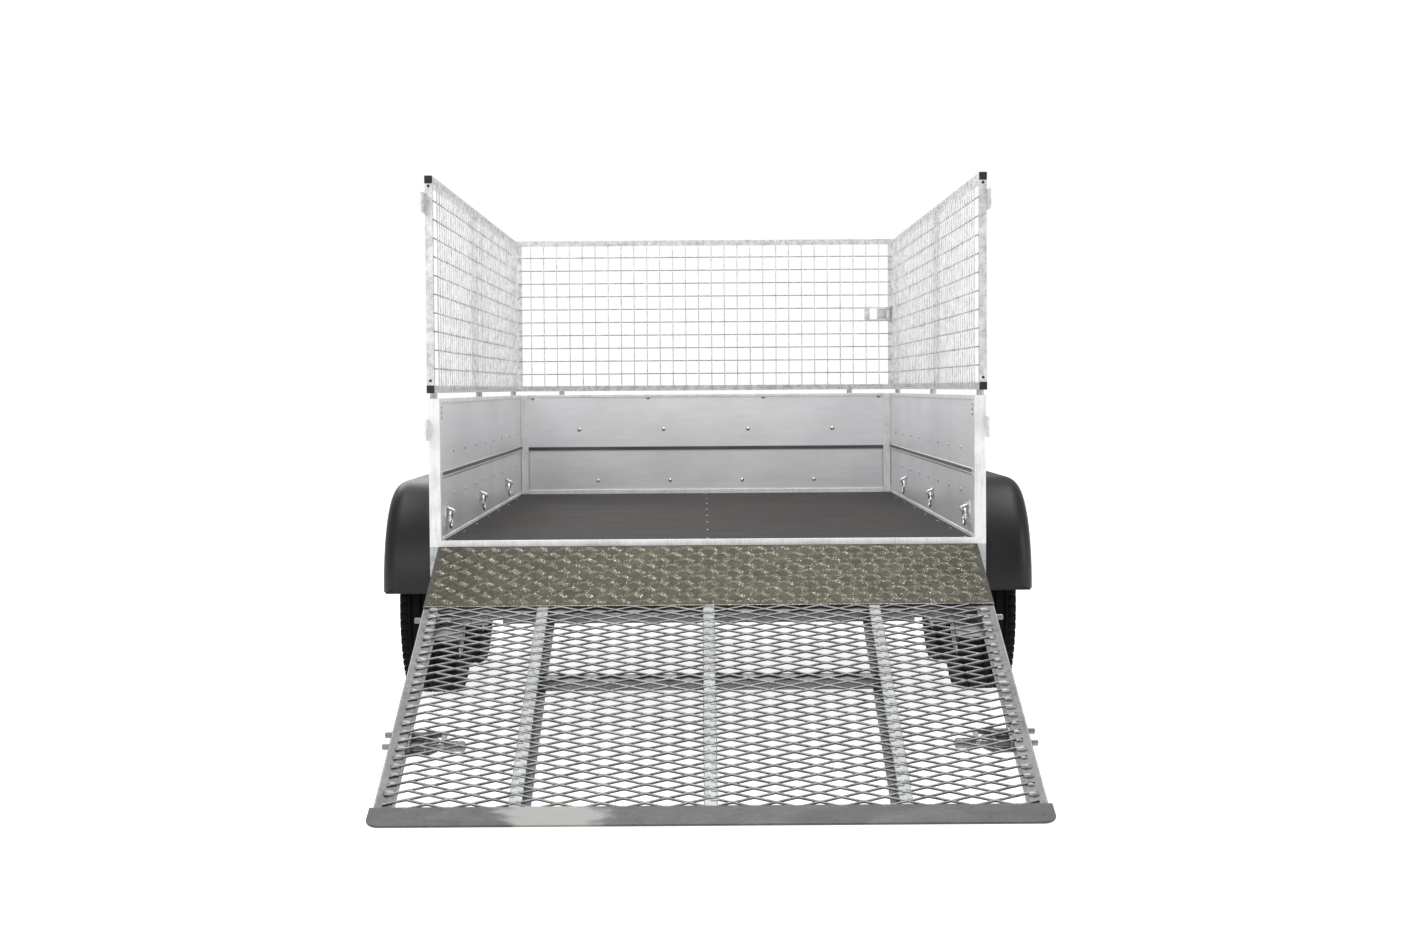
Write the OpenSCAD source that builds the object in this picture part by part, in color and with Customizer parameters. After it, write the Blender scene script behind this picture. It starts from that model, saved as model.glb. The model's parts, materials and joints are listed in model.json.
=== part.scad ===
// Tandem-axle livestock trailer with wire-mesh sides and a rear loading ramp.
// X is across the trailer, +Y points to the drawbar and Z is up from the ground.
// The origin is on the ground under the middle of the whole object, ramp lowered.

/* [Load bed] */
// Inside length of the load bed
bed_l = 2440; // [2300:10:2600]
// Inside width of the load bed
bed_w = 1440; // [1400:10:1500]
// Height of the floor's top above the ground
floor_z = 513; // [505:1:530]
// Thickness of the floor board
floor_t = 15; // [12:1:18]
// Height of the sheet walls above the floor
wall_h = 385; // [350:5:420]
// Width of the square corner posts
post_w = 30; // [25:1:35]

/* [Mesh sides] */
// Height of the mesh panels
mesh_h = 582; // [500:2:650]
// Size of the square frame tube
tube_w = 20; // [18:1:22]
// Distance between two wires
wire_pitch = 50; // [40:5:75]
// Diameter of a wire
wire_d = 4; // [3:0.5:5]
// How far the frames stand above the walls
mesh_gap = 15; // [12:1:20]

/* [Ramp] */
// Width of the ramp's frame
ramp_w = 1447; // [1400:1:1450]
// Length of the ramp's frame below the hinge
ramp_l = 1216; // [1200:1:1220]
// Angle of the lowered ramp to the ground
ramp_slope = 22.4; // [22.3:0.1:22.6]
// Length of the tread plate
tread_l = 337; // [300:1:380]
// Length of the sloping lip at the ramp's foot
lip_l = 75; // [70:1:90]

/* [Running gear] */
// Radius of a tyre
tyre_r = 280; // [270:1:285]
// Width of a tyre
tyre_w = 165; // [155:5:175]
// From the trailer's centre to the middle of a tyre
half_track = 824.5; // [822:0.5:830]
// From the rear posts to the rear wheels
rear_axle_y = 733; // [700:1:800]
// Between the two axles
axle_gap = 650; // [630:5:700]
// Length of a suspension arm
arm_l = 160; // [150:5:165]

/* [Drawbar] */
// From the front wall to the end of the coupling
drawbar_l = 1210; // [1150:10:1400]
// Radius of the ball socket
socket_r = 25.2; // [25.1:0.1:25.4]

/* [Hidden] */
$fn = 48;

half_bed = bed_w / 2;
body_l = bed_l + 2 * post_w;
wall_top = floor_z + wall_h;
wall_foot = floor_z - floor_t;
sheet_t = 2;
rail_h = 20;
member_h = 80;
member_foot = wall_foot - member_h;

// Height, half width and depth of the side walls' stiffening bead
bead_z = floor_z + 177;
bead_h = 5;
bead_out = 4;

// The ramp turns on an axis behind and below the floor's rear edge.
hinge_back = 36;
hinge_z = 470;
ramp_rise = 25;
ramp_top_s = -20;
bar_h = 28;
skin_t = 4;
bar_top = ramp_rise - skin_t;
bar_foot = bar_top - bar_h;
lip_t = 5;
lip_r = 30;
lip_z = hinge_z + ramp_rise * cos(ramp_slope) - ramp_l * sin(ramp_slope);
lip_slope = asin((lip_z - lip_t) / lip_l);
lip_half_w = 731;
ramp_run = hinge_back + ramp_l * cos(ramp_slope) + ramp_rise * sin(ramp_slope)
    + lip_l * cos(lip_slope);

whole_l = ramp_run + body_l + drawbar_l;
rear_y = ramp_run - whole_l / 2;
front_y = rear_y + body_l;
tip_y = whole_l / 2;
hinge_y = rear_y - hinge_back;

// Ramp frame
rail_w = 40;
half_ramp = ramp_w / 2;
long_bar_w = 30;
long_bar_x = 420;
head_bar_s = 22;
head_bar_w = 40;
tread_end_s = ramp_top_s + tread_l;
mid_bar_s = 651;
mid_bar_w = 34;
bar_wall = 3;
knuckle_x = 300;
knuckle_l = 58;
knuckle_r = 15;
pin_r = 8;
run_gap = 0.05;
lug_t = 8;
lug_gap = 2;

// Expanded metal of the ramp
strand_pitch = 18;
strand_half = 2.4;
diamond_l = 92;

// Sliding bolts that hold the closed ramp to the posts and the mesh frames
bolt_n = 6;
bolt_rod_r = 7;
bolt_hole_r = 9;
bolt_tip_x = 742;
bolt_tail_x = 600;
lower_bolt_s = 355;
upper_bolt_s = 945;
second_pin = 50;
guide_x = 640;

// Running gear
beam_w = 60;
beam_wall = 4;
beam_z = member_foot - beam_w / 2;
beam_half_l = 690;
arm_drop = beam_z - tyre_r;
arm_reach = sqrt(arm_l * arm_l - arm_drop * arm_drop);
arm_x = 694;
arm_t = 18;
shaft_r = 20;
stub_r = 15;
rim_r = 163;
disc_x = 28;
guard_rear = 386;
guard_l = 1337;
guard_top = 650;
guard_foot = 335;
guard_r = 300;
guard_t = 4;
guard_in = 736;
guard_out = 943;
strap_t = 6;
strap_h = 24;
guard_strap_ys = [guard_rear + guard_t + 4, guard_rear + guard_l - guard_t - strap_t - 4];

// Mesh panels
mesh_foot = wall_top + mesh_gap;
mesh_top = mesh_foot + mesh_h;
mesh_in = 733;
mesh_out = mesh_in + tube_w;
mid_post_y = 1110;
foot_r = 7;
foot_l = 50;
side_foot_y = [60, 1200, 2420];
front_foot_x = 560;
latch_z = 1205;
collar_r = 10;

// Lashing rings, by their distance from the rear posts
ring_y = [125, 985, 1845];
ring_z = 586;
ring_x = half_bed - 12;
ring_r = 22;
ring_wire_r = 4;

// Drawbar and jockey wheel
bar_deep = 60;
bar_wide = 40;
bar_root_x = 500;
bar_root_y = 1850;
bar_tip_x = 34;
head_l = 130;
neck_l = 150;
ball_z = member_foot - bar_deep / 2;
jockey_y = front_y + 560;
jockey_x = -205;
jockey_wheel_r = 100;
jockey_tube_r = 24;
jockey_foot_z = 222;

WHEELS = [["rear_left", -1, 0], ["rear_right", 1, 0], ["front_left", -1, 1], ["front_right", 1, 1]];
RINGS = [for (side = [-1, 1]) for (i = [0:2])
    [str("lashing_ring_", side < 0 ? "left_" : "right_", i + 1), side, ring_y[i]]];
BOLTS = [["ramp_bolt_lower_left", -1, lower_bolt_s, false], ["ramp_bolt_lower_right", 1, lower_bolt_s, false],
    ["ramp_bolt_upper_left", -1, upper_bolt_s, true], ["ramp_bolt_upper_right", 1, upper_bolt_s, true]];

// A block from its lowest to its highest corner
module block(low, high) {
    translate(low) cube(high - low);
}

// A cylinder along X, from x0 to x1
module rod_x(x0, x1, r) {
    translate([x0, 0, 0]) rotate([0, 90, 0]) cylinder(r = r, h = x1 - x0);
}

// A cylinder along Y, from y0 to y1
module rod_y(y0, y1, r) {
    translate([0, y0, 0]) rotate([-90, 0, 0]) cylinder(r = r, h = y1 - y0);
}

// The shape on the right and its mirror image on the left
module both_sides() {
    children();
    mirror([1, 0, 0]) children();
}

// A shape drawn on the right, put on the side that is named
module on_side(side) {
    mirror([side < 0 ? 1 : 0, 0, 0]) children();
}

// Shapes drawn with y measured forward from the rear posts
module from_rear() {
    translate([0, rear_y, 0]) children();
}

// Shapes drawn with the ramp's hinge as the origin, -y down the ramp and z square to it
module on_ramp() {
    translate([0, hinge_y, hinge_z]) rotate([ramp_slope, 0, 0]) children();
}

// A square or oblong tube with open ends, along axis 0, 1 or 2
module tube(low, high, axis, wall) {
    inset = [for (i = [0:2]) i == axis ? -1 : wall];
    difference() {
        block(low, high);
        block(low + inset, high - inset);
    }
}

// ---------------------------------------------------------------- chassis

module chassis_frame() {
    side_x = 640;
    member_w = 40;
    bays = 6;
    color("silver") from_rear() {
        both_sides()
            tube([side_x, 60, member_foot], [side_x + member_w, body_l - 60, wall_foot], 1, bar_wall);
        tube([-half_bed - post_w, 0, member_foot], [half_bed + post_w, 60, wall_foot], 0, bar_wall);
        tube([-half_bed - post_w, body_l - 60, member_foot], [half_bed + post_w, body_l, wall_foot], 0, bar_wall);
        for (i = [1:bays - 1])
            tube([-side_x, i * body_l / bays - 20, wall_foot - 50], [side_x, i * body_l / bays + 20, wall_foot],
                0, bar_wall);
        both_sides() for (x = [knuckle_x - knuckle_l / 2 - lug_gap - lug_t, knuckle_x + knuckle_l / 2 + lug_gap])
            hinge_lug(x);
        both_sides() for (y = guard_strap_ys) guard_strap(side_x + member_w, y);
    }
}

// A flat bar that hangs from a side member and holds the foot of a mudguard
module guard_strap(x, y) {
    low = guard_foot + 3;
    block([x - 20, y, low], [guard_out - 60, y + strap_t, low + strap_h]);
    block([x - 20, y, low], [x + 20, y + strap_t, member_foot + 12]);
}

// One ear of a ramp hinge: it hangs under the axis, so that the tread plate's end can swing past
module hinge_lug(x) {
    drop = 35;
    half = 14;
    translate([x, 0, 0]) difference() {
        union() {
            translate([0, -hinge_back, hinge_z]) rod_x(0, lug_t, half);
            block([0, -hinge_back - half, member_foot], [lug_t, -hinge_back + half, hinge_z]);
            block([0, -hinge_back, member_foot], [lug_t, 0, hinge_z - drop]);
        }
        translate([0, -hinge_back, hinge_z]) rod_x(-1, lug_t + 1, pin_r + run_gap);
    }
}

module hinge_pins() {
    reach = knuckle_l / 2 + lug_gap + lug_t;
    color("silver") translate([0, hinge_y, hinge_z]) both_sides() {
        rod_x(knuckle_x - reach - 2, knuckle_x + reach + 6, pin_r);
        rod_x(knuckle_x - reach - 6, knuckle_x - reach - 0.5, pin_r + 4);
    }
}

module floor_screw_places() {
    head_r = 6;
    rows = 8;
    from_rear() for (i = [0:rows - 1]) for (x = [-half_bed + 18, 0, half_bed - 18])
        translate([x, 60 + i * (body_l - 150) / (rows - 1), floor_z - 4]) cylinder(r = head_r, h = 4);
}

module floor_board() {
    color("dimgray") difference() {
        from_rear() block([-half_bed + 0.5, 0, wall_foot], [half_bed - 0.5, body_l - post_w - 0.5, floor_z]);
        floor_screw_places();
    }
}

module floor_screws() {
    color("silver") floor_screw_places();
}

module floor_edge_trim() {
    color("whitesmoke") from_rear() block([-half_bed, -3, wall_foot - 3], [half_bed, 0, floor_z]);
}

// ---------------------------------------------------------------- walls

// Section of a side wall, x across and y up: a beaded sheet with a foot flange
module wall_section() {
    bead = [[0, -2 * bead_h], [-bead_out, -bead_h], [-bead_out, bead_h], [0, 2 * bead_h]];
    inner = concat([[half_bed, wall_foot]], [for (p = bead) [half_bed + p[0], bead_z + p[1]]],
        [[half_bed, wall_top - rail_h]]);
    outer = [for (i = [len(inner) - 1:-1:0]) inner[i] + [sheet_t, 0]];
    polygon(concat(inner, outer));
    translate([half_bed, wall_foot]) square([15, sheet_t]);
    translate([half_bed, wall_top - rail_h]) square([post_w, rail_h]);
}

module side_panel() {
    color("gainsboro") from_rear() difference() {
        translate([0, body_l - post_w, 0]) rotate([90, 0, 0])
            linear_extrude(height = body_l - 2 * post_w) wall_section();
        for (y = side_foot_y)
            translate([mesh_in + tube_w / 2, y, wall_top - rail_h - 1]) cylinder(r = foot_r + 1, h = rail_h + 2);
    }
}

module side_panel_left() {
    mirror([1, 0, 0]) side_panel();
}

module side_panel_right() {
    side_panel();
}

// The front wall: a top board that stands proud, a recessed lower board and a foot angle
module front_panel() {
    inner_y = body_l - post_w;
    recess = 8;
    board_top = floor_z + 165;
    board_inset = 34;
    top_board = floor_z + 180;
    foot_angle = 18;
    color("gainsboro") from_rear() difference() {
        union() {
            block([-half_bed, inner_y, top_board], [half_bed, inner_y + sheet_t, wall_top]);
            block([-half_bed, inner_y, top_board], [half_bed, inner_y + recess + sheet_t, top_board + sheet_t]);
            block([-half_bed, inner_y + recess, wall_foot], [half_bed, inner_y + recess + sheet_t, top_board]);
            block([-half_bed + board_inset, inner_y + sheet_t, floor_z + sheet_t],
                [half_bed - board_inset, inner_y + recess, board_top]);
            block([-half_bed, inner_y, wall_foot], [half_bed, inner_y + recess, floor_z + foot_angle]);
            block([-half_bed, inner_y + sheet_t, wall_top - rail_h], [half_bed, body_l, wall_top]);
        }
        both_sides() translate([front_foot_x, mesh_front_y() + tube_w / 2, wall_top - rail_h - 1])
            cylinder(r = foot_r + 1, h = rail_h + 2);
    }
}

function mesh_front_y() = body_l - tube_w - 2;

module corner_posts() {
    color("whitesmoke") from_rear() both_sides() {
        tube([half_bed, 0, wall_foot], [half_bed + post_w, post_w, wall_top], 2, bar_wall);
        tube([half_bed, body_l - post_w, wall_foot], [half_bed + post_w, body_l, wall_top], 2, bar_wall);
        bolt_keeper(half_bed + post_w, hinge_z + lower_bolt_s, [785, 842]);
    }
}

// A plate that stands back from a post and takes one ramp bolt in its hole
module bolt_keeper(x, z, ends) {
    difference() {
        block([x, -hinge_back + bolt_n - 20, ends[0]], [x + 5, 18, ends[1]]);
        translate([0, -hinge_back + bolt_n, z]) rod_x(x - 1, x + 6, bolt_hole_r);
    }
}

// Rivets on the inner faces of the walls, in rows of [height, places across]
module panel_fasteners() {
    head = 2;
    big = 5;
    small = 4;
    inner_y = body_l - post_w;
    top_row = [wall_top - 11, [224, 673]];
    middle_row = [wall_top - 135, [164, 492]];
    board_row = [wall_top - 334, [140, 420]];
    color("silver") from_rear() both_sides() {
        for (row = [top_row, middle_row]) for (x = row[1])
            translate([x, inner_y, row[0]]) rotate([90, 0, 0]) cylinder(r = big, h = head);
        for (x = board_row[1])
            translate([x, inner_y + 2, board_row[0]]) rotate([90, 0, 0]) cylinder(r = big, h = head);
        for (y = [300:280:2260]) for (z = [bead_z + 60, bead_z - 60])
            translate([half_bed, y, z]) rotate([0, -90, 0]) cylinder(r = small, h = head);
        for (z = [wall_top - 50:14:wall_top - 22])
            translate([half_bed, post_w + 12, z]) rotate([0, -90, 0]) cylinder(r = small, h = head);
    }
}

module ring_brackets() {
    plate_t = 3;
    half = 24;
    saddle = 7;
    color("silver") for (r = RINGS) from_rear() on_side(r[1]) translate([0, r[2], ring_z]) difference() {
        union() {
            block([half_bed - plate_t, -half, -14], [half_bed, half, 22]);
            block([ring_x - 9, -saddle, -9], [half_bed - plate_t, saddle, 9]);
        }
        translate([ring_x, 0, 0]) rod_y(-saddle - 1, saddle + 1, ring_wire_r + 2);
    }
}

module lashing_ring(r) {
    color("lightgray") from_rear() on_side(r[1]) translate([ring_x, r[2], ring_z - ring_r])
        rotate([0, 90, 0]) rotate_extrude() translate([ring_r, 0]) circle(r = ring_wire_r);
}

module rear_lamps() {
    color("darkred") from_rear() both_sides() {
        block([540, -4, 322], [706, 0, 424]);
        block([548, -40, 330], [690, -4, 418]);
        block([440, -10, 345], [500, -4, 400]);
    }
    color("silver") from_rear() both_sides() block([430, 0, 322], [706, 3, 418]);
}

// ---------------------------------------------------------------- mesh sides

// The collars that the mesh frames stand on
module mesh_sockets() {
    gap = 0.3;
    color("silver") from_rear() both_sides() {
        for (y = side_foot_y) mesh_collar(mesh_in + tube_w / 2, y, gap);
        mesh_collar(front_foot_x, mesh_front_y() + tube_w / 2, gap);
    }
}

module mesh_collar(x, y, gap) {
    translate([x, y, wall_top]) difference() {
        cylinder(r = collar_r, h = mesh_gap - gap);
        translate([0, 0, -1]) cylinder(r = foot_r + 0.5, h = mesh_gap + 2);
    }
}

module mesh_foot_pin(x, y) {
    translate([x, y, mesh_foot - foot_l]) cylinder(r = foot_r, h = foot_l);
}

module mesh_frame_side() {
    wall = 2;
    front_end = body_l;
    mid = mid_post_y;
    difference() {
        union() {
            tube([mesh_in, 0, mesh_foot], [mesh_out, front_end, mesh_foot + tube_w], 1, wall);
            tube([mesh_in, 0, mesh_top - tube_w], [mesh_out, front_end, mesh_top], 1, wall);
            for (y = [0, mid, front_end - tube_w])
                tube([mesh_in, y, mesh_foot + tube_w], [mesh_out, y + tube_w, mesh_top - tube_w], 2, wall);
        }
        for (z = [mesh_foot + 33, mesh_top - 27])
            translate([0, tube_w / 2, z]) rod_y(-tube_w, 0, 4);
    }
    for (y = side_foot_y) mesh_foot_pin(mesh_in + tube_w / 2, y);
    bolt_keeper(mesh_out, hinge_z + upper_bolt_s, [1395, 1448]);
}

module mesh_frame_left() {
    color("silver") from_rear() mirror([1, 0, 0]) mesh_frame_side();
}

module mesh_frame_right() {
    color("silver") from_rear() {
        mesh_frame_side();
        block([mesh_in - 8, mesh_front_y() - 16, latch_z - 30], [mesh_in, mesh_front_y() - 2, latch_z + 30]);
    }
}

module mesh_frame_front() {
    wall = 2;
    half = mesh_in - 1;
    y0 = mesh_front_y();
    color("silver") from_rear() {
        tube([-half, y0, mesh_foot], [half, y0 + tube_w, mesh_foot + tube_w], 0, wall);
        tube([-half, y0, mesh_top - tube_w], [half, y0 + tube_w, mesh_top], 0, wall);
        both_sides() {
            tube([half - tube_w, y0, mesh_foot + tube_w], [half, y0 + tube_w, mesh_top - tube_w], 2, wall);
            mesh_foot_pin(front_foot_x, y0 + tube_w / 2);
        }
    }
}

// Welded wires in the YZ plane at x = 0, in two layers: uprights and the longer wires across them
module wire_grid(length, low, high) {
    uprights = floor(length / wire_pitch);
    rows = floor((high - low) / wire_pitch);
    first = (length - (uprights - 1) * wire_pitch) / 2;
    first_row = (high - low - (rows - 1) * wire_pitch) / 2;
    lap = 12;
    $fn = 16;
    for (i = [0:uprights - 1])
        translate([0, first + i * wire_pitch, low - lap]) cylinder(d = wire_d, h = high - low + 2 * lap);
    for (i = [0:rows - 1])
        translate([wire_d + 0.1, 0, low + first_row + i * wire_pitch]) rod_y(-lap, length + lap, wire_d / 2);
}

// The wires lie on the inner face of their frame
module mesh_wires_side() {
    translate([mesh_in - wire_d - 0.1 - wire_d / 2 - 0.05, tube_w, 0])
        wire_grid(mesh_front_y() - tube_w - 30, mesh_foot + tube_w, mesh_top - tube_w);
}

module mesh_wires_left() {
    color("gainsboro") from_rear() mirror([1, 0, 0]) mesh_wires_side();
}

module mesh_wires_right() {
    color("gainsboro") from_rear() mesh_wires_side();
}

module mesh_wires_front() {
    half = mesh_in - 1 - tube_w;
    color("gainsboro") from_rear() translate([half, mesh_front_y() - wire_d * 1.5 - 0.15, 0]) rotate([0, 0, 90])
        wire_grid(2 * half, mesh_foot + tube_w, mesh_top - tube_w);
}

module mesh_latch_base() {
    y0 = mesh_front_y();
    color("lightgray") from_rear() {
        block([mesh_in - 66, y0 - 14, latch_z - 20], [mesh_in - 22, y0 - 8.3, latch_z + 20]);
        difference() {
            block([mesh_in - 30, y0 - 30, latch_z - 20], [mesh_in - 22, y0 - 14, latch_z + 20]);
            translate([mesh_in - 26, y0 - 22, latch_z - 21]) cylinder(r = 3.05, h = 42);
        }
    }
}

module mesh_latch_lever() {
    y0 = mesh_front_y();
    color("gray") from_rear() translate([mesh_in - 26, y0 - 22, 0]) {
        translate([0, 0, latch_z - 26]) cylinder(r = 3, h = 52);
        both_ends(latch_z, 21) block([-76, -12, 0], [4, -6, 5]);
        both_ends(latch_z, 21) block([-5, -12, 0], [5, 4, 5]);
        block([-90, -14, latch_z - 26], [-70, -6, latch_z + 26]);
        both_ends(latch_z, 21) block([4, -12, 0], [11, -8, 5]);
    }
}

// A shape drawn upward from z = 0, put at two levels that mirror each other
module both_ends(middle, reach) {
    translate([0, 0, middle + reach]) children();
    translate([0, 0, middle - reach]) mirror([0, 0, 1]) children();
}

// ---------------------------------------------------------------- ramp

module ramp_frame() {
    s_end = ramp_l;
    low = bar_foot;
    high = bar_top;
    color("darkgray") on_ramp() difference() {
        union() {
            both_sides() {
                tube([half_ramp - rail_w, -s_end, low], [half_ramp, -2, high], 1, bar_wall);
                tube([long_bar_x - long_bar_w / 2, -s_end, low], [long_bar_x + long_bar_w / 2, -head_bar_s, high],
                    1, bar_wall);
                ramp_knuckle();
            }
            tube([-long_bar_w / 2, -s_end, low], [long_bar_w / 2, -head_bar_s, high], 1, bar_wall);
            for (bar = [[head_bar_s, head_bar_w], [tread_end_s - mid_bar_w / 2, mid_bar_w]])
                cross_bar(-half_ramp + rail_w, half_ramp - rail_w, bar[0], bar[1]);
            cross_bar(-long_bar_x, long_bar_x, mid_bar_s, mid_bar_w);
        }
        for (b = BOLTS) on_side(b[1]) bolt_line(b) rod_x(half_ramp - rail_w - 1, half_ramp + 1, bolt_rod_r + 1);
    }
}

module cross_bar(x0, x1, s, w) {
    tube([x0, -s - w, bar_foot], [x1, -s, bar_top], 0, bar_wall);
}

module ramp_knuckle() {
    translate([knuckle_x, 0, 0]) difference() {
        union() {
            rod_x(-knuckle_l / 2, knuckle_l / 2, knuckle_r);
            block([-knuckle_l / 2, -head_bar_s, -8], [knuckle_l / 2, 0, 8]);
        }
        rod_x(-knuckle_l, knuckle_l, pin_r + run_gap);
    }
}

// Both pins of a bolt, or its only one
module bolt_line(b) {
    for (back = b[3] ? [0, second_pin] : [0]) translate([0, -b[2] + back, bolt_n]) children();
}

// Expanded metal: zigzag strands that bend towards each neighbour in turn
module ramp_mesh() {
    half = half_ramp - 9;
    first_s = tread_end_s + 12;
    strands = floor((ramp_l - first_s) / strand_pitch);
    steps = floor(2 * half / (diamond_l / 2));
    swing = strand_pitch / 2 - strand_half - 0.1;
    left = -steps * diamond_l / 4;
    color("darkgray") on_ramp() for (i = [0:strands - 1]) {
        line = [for (k = [0:steps])
            [left + k * diamond_l / 2, -first_s - i * strand_pitch + ((k + i) % 2 == 0 ? swing : -swing)]];
        translate([0, 0, bar_top]) linear_extrude(height = skin_t) polygon(concat(
            [for (p = line) p + [0, strand_half]],
            [for (k = [steps:-1:0]) line[k] - [0, strand_half]]));
    }
}

module ramp_tread_plate() {
    color("dimgray") on_ramp() block([-half_ramp, -tread_end_s, bar_top], [half_ramp, -ramp_top_s, ramp_rise]);
}

module ramp_lip() {
    color("slategray") on_ramp() translate([0, -ramp_l, ramp_rise]) rotate([lip_slope - ramp_slope, 0, 0])
        translate([0, 0, -lip_t]) linear_extrude(height = lip_t) {
            translate([-lip_half_w, -lip_l + lip_r]) square([2 * lip_half_w, lip_l - lip_r]);
            translate([-lip_half_w + lip_r, -lip_l]) square([2 * (lip_half_w - lip_r), lip_l]);
            both_sides() translate([lip_half_w - lip_r, -lip_l + lip_r]) circle(r = lip_r);
        }
}

// Each bolt runs in two ears on a plate that is welded to the side rail
module ramp_bolt_guides() {
    plate_t = 3;
    ear_t = 6;
    color("lightgray") on_ramp() for (b = BOLTS) on_side(b[1]) translate([0, -b[2], 0]) {
        reach = b[3] ? second_pin : 0;
        difference() {
            union() {
                block([guide_x, -20, bar_foot], [half_ramp - rail_w, 20 + reach, bar_foot + plate_t]);
                for (x = [guide_x, half_ramp - rail_w - ear_t])
                    block([x, -14, bar_foot], [x + ear_t, 14 + reach, bolt_n + 12]);
            }
            for (y = b[3] ? [0, second_pin] : [0])
                translate([0, y, bolt_n]) rod_x(guide_x - 1, half_ramp, bolt_rod_r + 0.4);
        }
    }
}

module ramp_bolt(b) {
    grip_l = 45;
    grip_r = 12;
    color("silver") on_ramp() on_side(b[1]) {
        bolt_line(b) rod_x(bolt_tail_x, bolt_tip_x, bolt_rod_r);
        translate([0, -b[2], bolt_n]) rod_x(bolt_tail_x - 2 - grip_l, bolt_tail_x, grip_r);
        if (b[3])
            block([bolt_tail_x, -b[2] - 8, bolt_n - 5], [bolt_tail_x + 10, -b[2] + second_pin + 8, bolt_n + 5]);
    }
}

// ---------------------------------------------------------------- running gear

function axle_y(row) = rear_axle_y + row * axle_gap;

module axle_beams() {
    color("silver") from_rear() for (row = [0, 1]) translate([0, axle_y(row) + arm_reach, beam_z]) {
        difference() {
            block([-beam_half_l, -beam_w / 2, -beam_w / 2], [beam_half_l, beam_w / 2, beam_w / 2]);
            block([-beam_half_l + 12, -beam_w / 2 + beam_wall, -beam_w / 2 + beam_wall],
                [beam_half_l - 12, beam_w / 2 - beam_wall, beam_w / 2 - beam_wall]);
            both_sides() rod_x(beam_half_l - 20, beam_half_l + 1, shaft_r + run_gap);
        }
    }
}

// A trailing arm with its torsion shaft and its stub axle
module suspension_arm(w) {
    lean = atan(arm_drop / arm_reach);
    inside = 5;
    color("gray") from_rear() on_side(w[1]) translate([0, axle_y(w[2]), tyre_r]) {
        translate([arm_x, 0, 0]) rotate([90, 0, 90]) linear_extrude(height = arm_t) {
            circle(r = 28);
            translate([arm_reach, arm_drop]) circle(r = 31);
            rotate(lean) translate([0, -22]) square([arm_l, 44]);
        }
        translate([0, arm_reach, arm_drop]) rod_x(beam_half_l - 60, arm_x + inside, shaft_r);
        rod_x(arm_x + arm_t - inside, 736, 21);
        rod_x(736 - inside, half_track + disc_x - 4, stub_r);
    }
}

// Shapes drawn around the X axis with x = 0 in the tyre's middle plane
module at_wheel(w) {
    from_rear() on_side(w[1]) translate([half_track, axle_y(w[2]), tyre_r]) children();
}

// Rim, disc, hub, bolts and dust cap
module wheel(w) {
    flange_t = 4;
    half_rim = 62;
    bolt_ring_r = 50;
    color("lightgray") at_wheel(w) {
        difference() {
            union() {
                rotate([0, 90, 0]) rotate_extrude($fn = 96) {
                    translate([rim_r - 5, -half_rim]) square([5, 2 * half_rim]);
                    for (x = [-half_rim - flange_t, half_rim]) translate([rim_r - 5, x]) square([15, flange_t]);
                    translate([60, disc_x]) square([rim_r - 62, 4]);
                }
                rod_x(disc_x - 10, disc_x + 4, 64);
                rod_x(-84, disc_x - 10, 34);
                rod_x(disc_x + 4, disc_x + 26, 27);
            }
            rod_x(-90, disc_x - 2, stub_r + run_gap);
        }
        for (i = [0:3]) rotate([45 + 90 * i, 0, 0]) translate([0, bolt_ring_r, 0])
            rod_x(disc_x + 4, disc_x + 18, 9);
    }
}

module tyre(w) {
    half = tyre_w / 2;
    outer = [[rim_r, 61.5], [rim_r + 20, 61.5], [rim_r + 25, 68], [tyre_r - 70, half - 2],
        [tyre_r - 50, half], [tyre_r - 18, half - 8], [tyre_r, half - 24]];
    inner = [[tyre_r - 13, half - 30], [tyre_r - 26, half - 16], [tyre_r - 60, half - 9],
        [rim_r + 24, 56], [rim_r, 48]];
    color("black") at_wheel(w) rotate([0, 90, 0]) rotate_extrude($fn = 96)
        polygon(concat(
            [for (p = outer) p],
            [for (i = [len(outer) - 1:-1:0]) [outer[i][0], -outer[i][1]]],
            [for (i = [len(inner) - 1:-1:0]) [inner[i][0], -inner[i][1]]],
            [for (p = inner) p]));
}

// Side view of a mudguard, x forward and y up, shrunk by inset on its rear, top and front
module guard_outline(inset, foot) {
    r = guard_r - inset;
    intersection() {
        union() {
            translate([guard_rear + guard_r, guard_top - guard_r]) circle(r = r, $fn = 120);
            translate([guard_rear + guard_l - guard_r, guard_top - guard_r]) circle(r = r, $fn = 120);
            translate([guard_rear + guard_r, foot]) square([guard_l - 2 * guard_r, guard_top - inset - foot]);
        }
        translate([guard_rear - 10, foot]) square([guard_l + 20, 400]);
    }
}

module guard_slice(x0, x1, skin) {
    translate([x0, 0, 0]) rotate([90, 0, 90]) linear_extrude(height = x1 - x0) difference() {
        guard_outline(0, guard_foot);
        guard_outline(skin, guard_foot - 10);
    }
}

module mudguard() {
    edge = 14;
    inner_edge = 40;
    gap = 1;
    color([0.2, 0.2, 0.2]) from_rear() difference() {
        union() {
            guard_slice(guard_in, guard_out, guard_t);
            guard_slice(guard_out - guard_t, guard_out, edge);
            guard_slice(guard_in, guard_in + guard_t, inner_edge);
        }
        // Notches in the inner edge, where the straps pass
        for (y = guard_strap_ys)
            block([guard_in - gap, y - gap, guard_foot - gap],
                [guard_in + guard_t + gap, y + strap_t + gap, guard_foot + 3 + strap_h + gap]);
    }
}

module mudguard_left() {
    mirror([1, 0, 0]) mudguard();
}

module mudguard_right() {
    mudguard();
}

// ---------------------------------------------------------------- drawbar

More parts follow.
